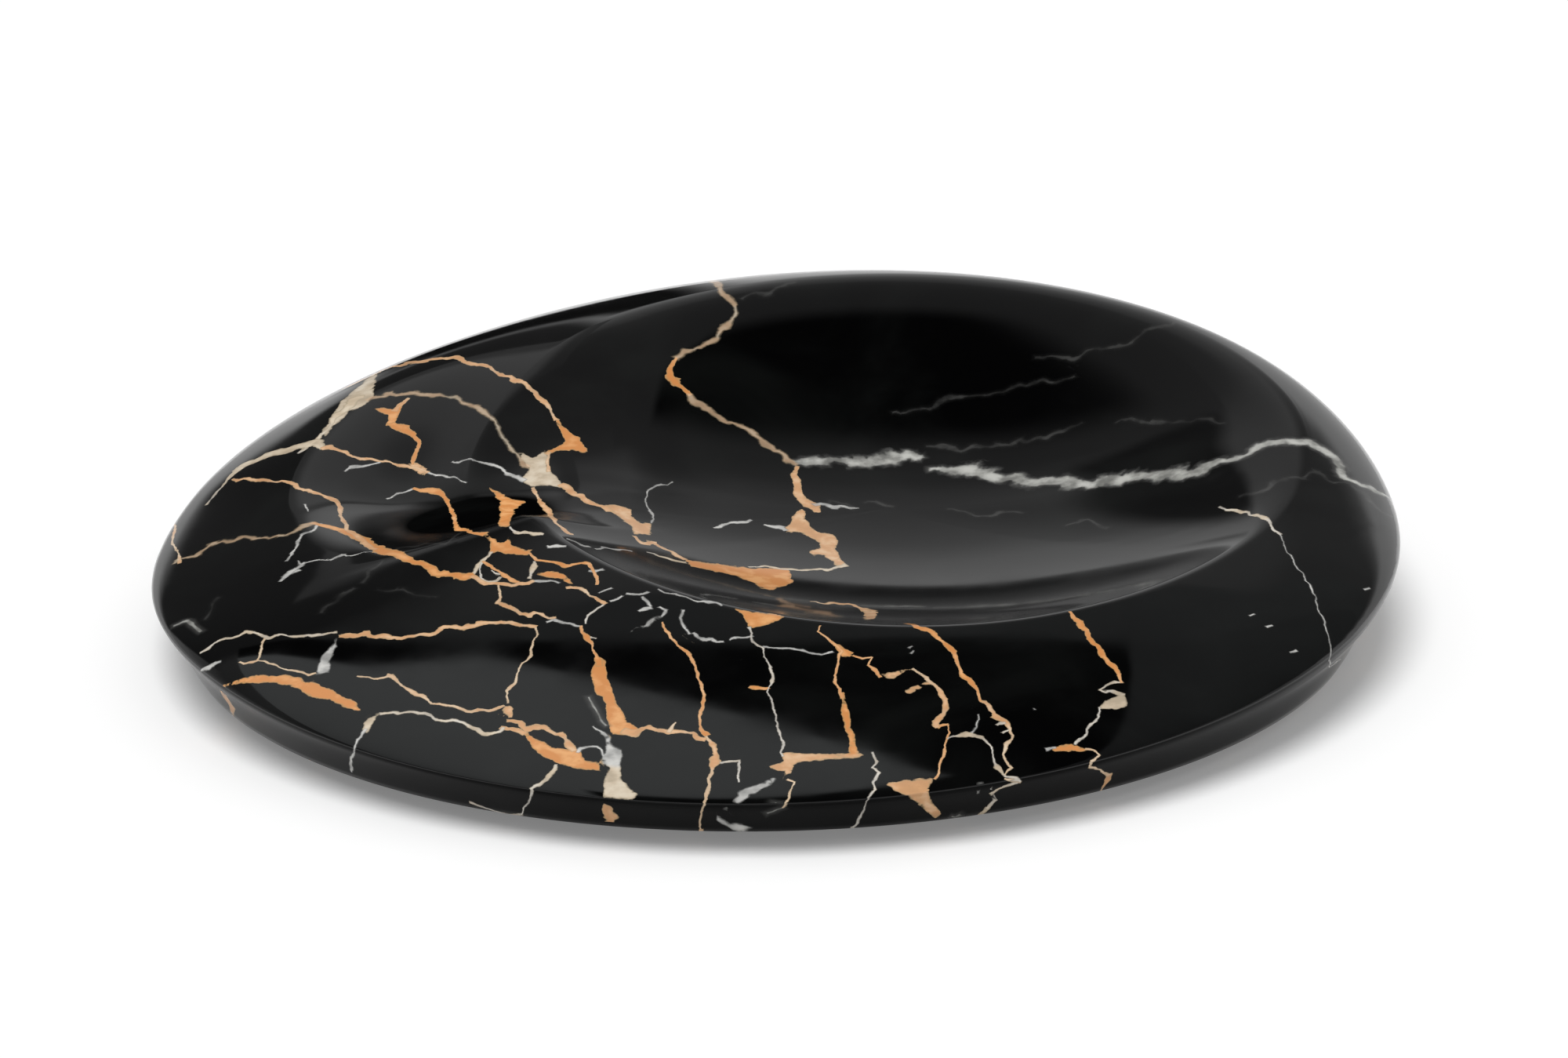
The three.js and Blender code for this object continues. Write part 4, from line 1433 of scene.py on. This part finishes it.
@dataclass(frozen=True)
class PressedFelt:
    """Black pressed wool felt. A noise is given by its size in metres, its detail and how it is stirred."""

    dark: Colour = (0.006, 0.006, 0.0065, 1.0)
    fluff: Colour = (0.024, 0.024, 0.026, 1.0)
    roughness: float = 0.95
    sheen: float = 0.35
    mat_noise: Noise = (0.0005, 5.0, 2.0)
    lump_noise: Noise = (0.003, 3.0)
    lump_share: float = 0.5
    fluff_range: Span = (0.38, 0.62)
    bump: float = 0.6
    bump_height: float = 0.0002

    def build(self) -> bpy.types.Material:
        """Makes the material.

        Returns:
            The felt.
        """
        material, wiring, shader, where = fresh_material("pressed_felt")
        mat = wiring.noise(where, *self.mat_noise)
        lumps = wiring.noise(where, *self.lump_noise)
        matted = wiring.product(mat, 1.0 - self.lump_share)
        fibres = wiring.math("MULTIPLY_ADD", lumps, self.lump_share, matted)
        colour = wiring.mix(wiring.remap(fibres, *self.fluff_range), self.dark, self.fluff)
        wiring.feed(shader.inputs["Base Color"], colour)
        shader.inputs["Roughness"].default_value = self.roughness
        shader.inputs["Sheen Weight"].default_value = self.sheen
        bump = wiring.add("ShaderNodeBump")
        bump.inputs["Strength"].default_value = self.bump
        bump.inputs["Distance"].default_value = self.bump_height
        wiring.feed(bump.inputs["Height"], mat)
        wiring.feed(shader.inputs["Normal"], bump.outputs[0])
        return material


@dataclass(frozen=True)
class AdhesiveFilm:
    """A clear, slightly yellow pressure-sensitive film, squeezed between felt and stone."""

    clear: Colour = (0.62, 0.57, 0.46, 1.0)
    cloudy: Colour = (0.74, 0.71, 0.62, 1.0)
    bubble_noise: Noise = (0.0014, 4.0)
    colour_range: Span = (0.4, 0.6)
    rough_range: Span = (0.3, 0.7)
    roughness: Span = (0.30, 0.48)

    def build(self) -> bpy.types.Material:
        """Makes the material.

        Returns:
            The film.
        """
        material, wiring, shader, where = fresh_material("adhesive_film")
        bubbles = wiring.noise(where, *self.bubble_noise)
        colour = wiring.mix(wiring.remap(bubbles, *self.colour_range), self.clear, self.cloudy)
        wiring.feed(shader.inputs["Base Color"], colour)
        rough = wiring.remap(bubbles, *self.rough_range, *self.roughness)
        wiring.feed(shader.inputs["Roughness"], rough)
        return material


def only(piece: bpy.types.Object) -> None:
    """Selects one object alone and makes it the active one."""
    bpy.ops.object.select_all(action="DESELECT")
    piece.select_set(True)
    bpy.context.view_layer.objects.active = piece


@dataclass
class CarvedStone:
    """The marble body: a smoothed copy of its solid, with the veins drawn on it.

    Lengths ending in _mm are millimetres, angles are degrees, and facing is the upward part of the normal.
    """

    node: bpy.types.Object
    view: PhotoView
    merge_mm: float = 0.004
    quad_angle: float = 70.0
    crisp_angle: float = 30.0
    crispness: float = 0.85
    smoothing: int = 1
    target_smoothing: int = 3
    top_edge_mm: float = 1.04
    side_edge_mm: float = 1.8
    under_edge_mm: float = 3.2
    top_facing: float = 0.15
    under_facing: float = -0.8
    cuts: int = 4
    piece: bpy.types.Object = field(init=False)

    def build(self) -> bpy.types.Object:
        """Copies the solid's mesh, closes it, and smooths it with a subdivision surface.

        Returns:
            The stone.
        """
        self.piece = bpy.data.objects.new("carved_stone", self.node.data.copy())
        bpy.context.scene.collection.objects.link(self.piece)
        only(self.piece)
        bpy.ops.object.mode_set(mode="EDIT")
        bpy.ops.mesh.select_all(action="SELECT")
        bpy.ops.mesh.remove_doubles(threshold=self.merge_mm * MM)
        limit = math.radians(self.quad_angle)
        bpy.ops.mesh.tris_convert_to_quads(face_threshold=limit, shape_threshold=limit)
        bpy.ops.mesh.select_all(action="DESELECT")
        bpy.ops.mesh.select_mode(type="EDGE")
        bpy.ops.mesh.edges_select_sharp(sharpness=math.radians(self.crisp_angle))
        bpy.ops.transform.edge_crease(value=self.crispness)
        bpy.ops.object.mode_set(mode="OBJECT")
        target = bpy.data.objects.new("smooth_target", self.piece.data.copy())
        bpy.context.scene.collection.objects.link(target)
        self.smooth(target, self.target_smoothing)
        self.smooth(self.piece, self.smoothing)
        for _ in range(self.cuts):
            self.cut_long_edges()
        fit = self.piece.modifiers.new("fit", "SHRINKWRAP")
        fit.target = target
        fit.wrap_method = "NEAREST_SURFACEPOINT"
        only(self.piece)
        bpy.ops.object.modifier_apply(modifier=fit.name)
        bpy.ops.object.shade_smooth()
        bpy.data.objects.remove(target)
        LOG.info("stone: %d faces", len(self.piece.data.polygons))
        return self.piece

    @staticmethod
    def smooth(piece: bpy.types.Object, levels: int) -> None:
        """Rounds a mesh with a subdivision surface and applies it."""
        only(piece)
        rounding = piece.modifiers.new("smooth", "SUBSURF")
        rounding.levels = levels
        rounding.render_levels = levels
        bpy.ops.object.modifier_apply(modifier=rounding.name)

    def cut_long_edges(self) -> None:
        """Halves the long edges, so that veins can be drawn finely: most on top, least underneath."""
        mesh = self.piece.data
        spots = np.empty((len(mesh.vertices), 3), np.float32)
        mesh.vertices.foreach_get("co", spots.ravel())
        normals = np.empty((len(mesh.vertices), 3), np.float32)
        mesh.vertices.foreach_get("normal", normals.ravel())
        ends = np.empty((len(mesh.edges), 2), np.int32)
        mesh.edges.foreach_get("vertices", ends.ravel())
        lengths = np.linalg.norm(spots[ends[:, 0]] - spots[ends[:, 1]], axis=1)
        facing = normals[ends].mean(axis=1)[:, 2]
        limits = np.where(facing > self.top_facing, self.top_edge_mm, self.side_edge_mm)
        limits = np.where(facing < self.under_facing, self.under_edge_mm, limits)
        only(self.piece)
        bpy.ops.object.mode_set(mode="EDIT")
        bpy.ops.mesh.select_mode(type="EDGE")
        bpy.ops.mesh.select_all(action="DESELECT")
        bpy.ops.object.mode_set(mode="OBJECT")
        mesh.edges.foreach_set("select", lengths > limits * MM)
        bpy.ops.object.mode_set(mode="EDIT")
        bpy.ops.mesh.subdivide(number_cuts=1, ngon=False, quadcorner="STRAIGHT_CUT")
        bpy.ops.object.mode_set(mode="OBJECT")

    def draw_veins(self) -> VeinMap:
        """Draws the photographed veins, and like ones on the sides that the photograph hides.

        Returns:
            The map of all veins.
        """
        veins = VeinMap(self.piece, self.view)
        for vein in PHOTO_VEINS:
            veins.trace(vein)
        for name, at_end, length in EDGE_VEINS:
            veins.lead_on(name, at_end, length)
        for vein in HIDDEN_VEINS:
            veins.start_hidden(vein)
        return veins

    def dress(self) -> None:
        """Draws the veins and gives the stone its marble."""
        veins = self.draw_veins()
        layers = veins.write(PATCHES)
        LOG.info("veins: %d threads in %d layers", len(veins.threads), layers)
        marble = PolishedMarble(layers=layers, reach_mm=veins.reach_mm)
        self.piece.data.materials.clear()
        self.piece.data.materials.append(marble.build())
        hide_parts(self.node.name)
        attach(self.piece, BODY)


@dataclass
class FeltFeet:
    """The felt feet, cut from pressed felt, and the adhesive discs that hold them."""

    nodes: dict[str, bpy.types.Object]
    sides: int = 72
    base_mm: float = 0.1
    rounding_mm: float = 0.45
    rounding_steps: int = 4
    rings: int = 3
    ring_mm: float = 2.6
    cap_corners: int = 8
    upright_mm: float = 0.5
    side_cuts: int = 3
    side_margin_mm: float = 0.2
    fray_mm: float = 0.07
    fray_outward: float = 0.5
    smooth_angle: float = 50.0
    seed: int = 3
    pieces: list[bpy.types.Object] = field(default_factory=list)

    def first_foot(self, low: Vector, high: Vector) -> bpy.types.Object:
        """Models one foot: a disc with a rounded lower edge and a slightly frayed side.

        Args:
            low: the lowest corner of the foot's solid.
            high: the highest corner of the foot's solid.

        Returns:
            The foot.
        """
        bpy.ops.object.select_all(action="DESELECT")
        bpy.ops.mesh.primitive_cylinder_add(vertices=self.sides, radius=(high.x - low.x) / 2,
                                            depth=high.z - low.z, location=(low + high) / 2)
        foot = bpy.context.object
        bpy.ops.object.transform_apply(location=True, rotation=True, scale=True)
        bpy.ops.object.mode_set(mode="EDIT")
        bpy.ops.mesh.select_mode(type="EDGE")
        base = low.z + self.base_mm * MM
        self.choose(foot, "edges", lambda edge: max(self.heights(foot, edge)) < base)
        bpy.ops.mesh.bevel(offset=self.rounding_mm * MM, segments=self.rounding_steps)
        bpy.ops.mesh.select_mode(type="FACE")
        for _ in range(self.rings):
            self.choose(foot, "polygons", lambda face: len(face.vertices) > self.cap_corners)
            bpy.ops.mesh.inset(thickness=self.ring_mm * MM, use_individual=True)
        bpy.ops.mesh.select_mode(type="EDGE")
        self.choose(foot, "edges", lambda edge: self.rise(foot, edge) > self.upright_mm * MM)
        bpy.ops.mesh.subdivide(number_cuts=self.side_cuts)
        bpy.ops.mesh.select_mode(type="VERT")
        margin = self.side_margin_mm * MM
        self.choose(foot, "vertices", lambda vertex: low.z + margin < vertex.co.z < high.z - margin)
        bpy.ops.transform.vertex_random(offset=self.fray_mm * MM, normal=self.fray_outward, seed=self.seed)
        bpy.ops.object.mode_set(mode="OBJECT")
        bpy.ops.object.shade_smooth_by_angle(angle=math.radians(self.smooth_angle))
        return foot

    @staticmethod
    def heights(foot: bpy.types.Object, edge: bpy.types.MeshEdge) -> list[float]:
        """Gives the heights of an edge's two ends."""
        return [foot.data.vertices[index].co.z for index in edge.vertices]

    def rise(self, foot: bpy.types.Object, edge: bpy.types.MeshEdge) -> float:
        """Gives how far an edge rises from one end to the other."""
        ends = self.heights(foot, edge)
        return max(ends) - min(ends)

    @staticmethod
    def choose(foot: bpy.types.Object, parts: str, test: Callable[[bpy.types.bpy_struct], bool]) -> None:
        """Selects the parts of a foot's mesh that pass a test, in edit mode.

        Args:
            foot: the foot.
            parts: which parts: edges, polygons or vertices.
            test: says whether a part is selected.
        """
        bpy.ops.mesh.select_all(action="DESELECT")
        bpy.ops.object.mode_set(mode="OBJECT")
        for part in getattr(foot.data, parts):
            part.select = test(part)
        bpy.ops.object.mode_set(mode="EDIT")

    def build(self) -> list[bpy.types.Object]:
        """Models the first foot and copies it to the others' places.

        Returns:
            The feet.
        """
        low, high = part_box("felt_foot_1")
        first = self.first_foot(low, high)
        first.name = "felt_pad_1"
        self.pieces.append(first)
        for number in range(2, FEET + 1):
            other = bpy.data.objects.new(f"felt_pad_{number}", first.data.copy())
            bpy.context.scene.collection.objects.link(other)
            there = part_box(f"felt_foot_{number}")[0]
            other.data.transform(Matrix.Translation(there - low))
            self.pieces.append(other)
        return self.pieces

    def dress(self) -> None:
        """Gives the feet their felt and the adhesive discs their film."""
        felt = PressedFelt().build()
        film = AdhesiveFilm().build()
        for number, foot in enumerate(self.pieces, start=1):
            foot.data.materials.clear()
            foot.data.materials.append(felt)
            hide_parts(f"felt_foot_{number}")
            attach(foot, BODY)
            disc = self.nodes[f"adhesive_disc_{number}"]
            disc.data.materials.clear()
            disc.data.materials.append(film)


@dataclass(frozen=True)
class Card:
    """A sheet of paper or cloth around the stone, as the polish mirrors it.

    left and right are degrees clockwise from straight behind the stone, low and high are degrees above the
    floor. soft is the width of the edges in degrees, and glow is how bright the sheet is.
    """

    name: str
    left: float
    right: float
    low: float
    high: float
    soft: float
    glow: float


CARDS = (
    Card("left_cloth", left=-40.0, right=-8.0, low=14.0, high=37.6, soft=4.0, glow=0.05),
    Card("left_paper", left=-75.0, right=-14.5, low=-8.0, high=12.0, soft=3.0, glow=0.75),
    Card("right_paper", left=13.0, right=75.0, low=-8.0, high=24.0, soft=5.0, glow=0.75),
    Card("right_wall", left=12.5, right=75.0, low=27.0, high=49.0, soft=6.0, glow=0.125),
    Card("low_cloth", left=-12.5, right=-2.5, low=-12.0, high=13.0, soft=3.0, glow=0.01),
)


def hang_sheet(name: str, low: Point, high: Point, material: bpy.types.Material) -> bpy.types.Object:
    """Hangs a level sheet that shows only in the polish.

    Args:
        name: the sheet's name.
        low: its near left corner, in millimetres.
        high: its far right corner, in millimetres.
        material: its material.

    Returns:
        The sheet.
    """
    bpy.ops.object.select_all(action="DESELECT")
    middle = (Vector(low) + Vector(high)) * (MM / 2)
    bpy.ops.mesh.primitive_grid_add(
        x_subdivisions=SHEET_CUTS, y_subdivisions=SHEET_CUTS, size=1.0, location=middle)
    sheet = bpy.context.object
    sheet.name = name
    sheet.scale = Vector(((high[0] - low[0]) * MM, (high[1] - low[1]) * MM, 1.0))
    bpy.ops.object.transform_apply(location=True, rotation=True, scale=True)
    sheet.data.materials.append(material)
    sheet.visible_camera = False
    sheet.visible_diffuse = False
    sheet.visible_shadow = False
    return sheet


def glowing_cloth(name: str) -> tuple[bpy.types.Material, Wiring, Socket, Socket, Socket]:
    """Starts a cloth that glows by where it hangs.

    Args:
        name: the material's name.

    Returns:
        The material, its wiring, x and y of the object coordinates, and the socket for the glow.
    """
    material, wiring, surface = blank_material(name)
    cloth = wiring.add("ShaderNodeEmission")
    wiring.feed(surface, cloth.outputs[0])
    x, y, _ = wiring.split(wiring.add("ShaderNodeTexCoord").outputs["Object"])
    return material, wiring, x, y, cloth.inputs["Strength"]


def past(wiring: Wiring, value: Socket, limit: float, width: float) -> Socket:
    """Gives 1 where a value is above a limit and 0 below it, over a width, both in millimetres."""
    return wiring.remap(value, (limit - width / 2) * MM, (limit + width / 2) * MM)


def past_line(wiring: Wiring, x: Socket, y: Socket, line: Span, width: float) -> Socket:
    """Gives 1 beyond a slanted line, which is its y at x = 0 and its slope, and 0 on its near side."""
    at_zero, slope = line
    return past(wiring, wiring.math("MULTIPLY_ADD", x, -slope, y), at_zero, width)


def between(wiring: Wiring, value: Socket, low: float, high: float, soft: float) -> Socket:
    """Gives 1 between two limits and 0 beyond them, with edges of a given width."""
    half = soft / 2
    above = wiring.remap(value, low - half, low + half)
    return wiring.product(above, wiring.remap(value, high - half, high + half, 1.0, 0.0))


@dataclass
class ApronSheet:
    """A dark sheet above the stone's near half, with a grey light panel on its left.

    The panel ends at slanted lines. A lighter strip runs along the sheet's far edge, and a lighter wing
    along its right side. Lengths are millimetres in the part's frame, and a line is its y at x = 0 and its
    slope.
    """

    low: Point = (-122.0, -75.0, 100.0)
    high: Point = (210.0, 63.0, 100.0)
    dark: float = 0.003
    panel_glow: float = 0.43
    panel_lines: tuple[Span, ...] = ((19.5, -0.5), (28.0, -1.07), (49.0, 0.0))
    panel_near: float = -5.5
    panel_left_part: float = -38.0
    strip_glow: float = 0.125
    strip_lines: tuple[Span, ...] = ((42.0, -0.2), (43.0, 0.0))
    wing_glow: float = 0.105
    wing_left: float = 66.0
    crisp: float = 1.6
    soft: float = 4.0
    tint: Colour = (0.965, 1.0, 1.0, 1.0)

    def build(self) -> bpy.types.Object:
        """Makes the sheet's pattern and hangs it.

        Returns:
            The sheet.
        """
        material, wiring, x, y, glow = glowing_cloth("apron_sheet")
        glow.node.inputs["Color"].default_value = self.tint
        to_left = wiring.left_of_one(past(wiring, x, self.panel_left_part, self.soft))
        started = wiring.math("MAXIMUM", past(wiring, y, self.panel_near, self.soft), to_left)
        ends = (past_line(wiring, x, y, line, self.crisp) for line in self.panel_lines)
        panel = wiring.product(started, *(wiring.left_of_one(end) for end in ends))
        strip = wiring.product(*(past_line(wiring, x, y, line, self.crisp) for line in self.strip_lines))
        wing = past(wiring, x, self.wing_left, self.crisp)
        level = wiring.math("MULTIPLY_ADD", panel, self.panel_glow, self.dark)
        for part, part_glow in ((strip, self.strip_glow), (wing, self.wing_glow)):
            level = wiring.math("MAXIMUM", level, wiring.product(part, part_glow))
        wiring.feed(glow, level)
        return hang_sheet("apron_sheet", self.low, self.high, material)


@dataclass(frozen=True)
class Reflector:
    """A small level card with soft edges that the polish mirrors.

    low and high are the card's corners. glow is how bright it is within left, right, near and far, and rim
    how bright it is around that. Lengths are millimetres in the part's frame.
    """

    name: str
    low: Point
    high: Point
    left: float
    right: float
    near: float
    far: float
    glow: float
    rim: float
    left_fade: float
    fade: float = 14.0

    def build(self) -> bpy.types.Object:
        """Makes the card's pattern and hangs it.

        Returns:
            The card.
        """
        material, wiring, x, y, glow = glowing_cloth(self.name)
        inside = wiring.product(
            past(wiring, x, self.left, self.left_fade),
            past(wiring, y, self.near, self.fade),
            wiring.left_of_one(past(wiring, x, self.right, self.fade)),
            wiring.left_of_one(past(wiring, y, self.far, self.fade)),
        )
        wiring.feed(glow, wiring.math("MULTIPLY_ADD", inside, self.glow - self.rim, self.rim))
        return hang_sheet(self.name, self.low, self.high, material)


REFLECTORS = (
    Reflector("bowl_flag", low=(-14.0, 78.0, 100.0), high=(62.0, 122.0, 100.0), left=3.0, right=36.0,
              near=60.0, far=107.0, glow=0.0, rim=0.13, left_fade=3.0),
    Reflector("hump_card", low=(-108.0, 107.0, 100.0), high=(-42.0, 215.0, 100.0), left=-98.0,
              right=-56.0, near=115.0, far=195.0, glow=0.32, rim=0.16, left_fade=14.0),
)


@dataclass
class Studio:
    """A pale floor, soft lamps and the surroundings that the polish mirrors.

    A lamp's place is its direction from the stone, and its softness is how wide it is in degrees. The
    wall's stops are degrees above the floor and how bright the wall is there.
    """

    floor_size: float = 8.0
    floor_cuts: int = 8
    floor_colour: Colour = (0.86, 0.86, 0.86, 1.0)
    floor_white: float = 0.19
    plain_light: float = 0.22
    key_place: Point = (-0.16, -0.2, 1.0)
    key_strength: float = 1.9
    key_softness: float = 36.0
    fill_place: Point = (0.1, 0.3, 1.0)
    fill_strength: float = 0.6
    fill_softness: float = 120.0
    wall_stops: tuple[Span, ...] = (
        (-5.0, 1.0), (5.0, 0.9), (10.0, 0.52), (14.0, 0.48), (21.0, 0.46), (26.0, 0.33), (31.0, 0.28),
        (36.0, 0.22), (39.0, 0.15), (46.0, 0.13), (58.0, 0.13), (75.0, 0.10))

    def build_floor(self) -> bpy.types.Object:
        """Makes the paper floor.

        Returns:
            The floor.
        """
        bpy.ops.object.select_all(action="DESELECT")
        bpy.ops.mesh.primitive_grid_add(
            x_subdivisions=self.floor_cuts, y_subdivisions=self.floor_cuts, size=self.floor_size)
        floor = bpy.context.object
        floor.name = "studio_floor"
        material, wiring, surface = blank_material("studio_floor")
        paper = wiring.add("ShaderNodeBsdfDiffuse")
        paper.inputs["Color"].default_value = self.floor_colour
        white = wiring.add("ShaderNodeEmission")
        wiring.feed(white.inputs["Strength"], wiring.product(self.seen(wiring), self.floor_white))
        both = wiring.add("ShaderNodeAddShader")
        wiring.feed(both.inputs[0], paper.outputs[0])
        wiring.feed(both.inputs[1], white.outputs[0])
        wiring.feed(surface, both.outputs[0])
        floor.data.materials.append(material)
        return floor

    @staticmethod
    def seen(wiring: Wiring) -> Socket:
        """Gives 1 for what is seen, directly or in the polish, and 0 for light that falls on the stone."""
        path = wiring.add("ShaderNodeLightPath").outputs
        shown = wiring.math("MAXIMUM", path["Is Camera Ray"], path["Is Glossy Ray"])
        return wiring.math("MAXIMUM", shown, path["Is Transmission Ray"])

    def build_surroundings(self) -> None:
        """Makes the world: a plain light for the stone, and walls and cards that are seen and mirrored."""
        world = bpy.data.worlds.new("studio")
        world.use_nodes = True
        bpy.context.scene.world = world
        wiring = Wiring(world.node_tree)
        world.node_tree.nodes.clear()
        output = wiring.add("ShaderNodeOutputWorld")
        right, behind, up = wiring.split(wiring.add("ShaderNodeTexCoord").outputs["Generated"])
        height = wiring.math("DEGREES", wiring.math("ARCSINE", up))
        aside = wiring.math("DEGREES", wiring.math("ARCTAN2", right, behind))
        lowest = self.wall_stops[0][0]
        whole = ZENITH - lowest
        share = wiring.math("DIVIDE", wiring.math("SUBTRACT", height, lowest), whole)
        stops = tuple(((level - lowest) / whole, grey(glow)) for level, glow in self.wall_stops)
        scenery = wiring.ramp(share, stops)
        for card in CARDS:
            sides = between(wiring, aside, card.left, card.right, card.soft)
            mask = wiring.product(sides, between(wiring, height, card.low, card.high, card.soft))
            scenery = wiring.mix(mask, scenery, grey(card.glow))
        sky = wiring.add("ShaderNodeBackground")
        light = wiring.mix(self.seen(wiring), grey(self.plain_light), scenery)
        wiring.feed(sky.inputs["Color"], light)
        wiring.feed(output.inputs["Surface"], sky.outputs[0])

    @staticmethod
    def build_lamp(name: str, place: Point, strength: float, softness: float) -> bpy.types.Object:
        """Makes a broad, far lamp that lights everything evenly and isn't mirrored in the polish.

        Args:
            name: the lamp's name.
            place: its direction from the stone.
            strength: its strength.
            softness: how wide it is, in degrees.

        Returns:
            The lamp.
        """
        light = bpy.data.lights.new(name, "SUN")
        light.energy = strength
        light.angle = math.radians(softness)
        lamp = bpy.data.objects.new(name, light)
        lamp.location = place
        lamp.rotation_euler = (-Vector(place)).to_track_quat("-Z", "Y").to_euler()
        lamp.visible_glossy = False
        bpy.context.scene.collection.objects.link(lamp)
        return lamp

    def build(self) -> None:
        """Builds the floor, the surroundings, the sheets and the lamps."""
        bpy.context.scene.view_settings.view_transform = "Standard"
        self.build_floor()
        self.build_surroundings()
        ApronSheet().build()
        for reflector in REFLECTORS:
            reflector.build()
        self.build_lamp("key_lamp", self.key_place, self.key_strength, self.key_softness)
        self.build_lamp("fill_lamp", self.fill_place, self.fill_strength, self.fill_softness)


def stone_axis() -> Vector:
    """Finds the stone's own axis on the floor, which is the middle of its feet."""
    corners = [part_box(f"felt_foot_{number}") for number in range(1, FEET + 1)]
    middle = sum((low + high for low, high in corners), Vector()) / (2 * FEET)
    return Vector((middle.x, middle.y, 0.0))


def main() -> None:
    """Builds the camera, the stone, its feet and the studio."""
    logging.basicConfig(level=logging.INFO, format="%(name)s: %(message)s")
    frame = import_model()
    view = PhotoView(stone_axis())
    view.build()
    stone = CarvedStone(frame["nodes"]["marble_body"], view)
    LOG.info("built %s", stone.build().name)
    stone.dress()
    feet = FeltFeet(frame["nodes"])
    LOG.info("built %s", ", ".join(foot.name for foot in feet.build()))
    feet.dress()
    Studio().build()


if __name__ == "__main__":
    main()
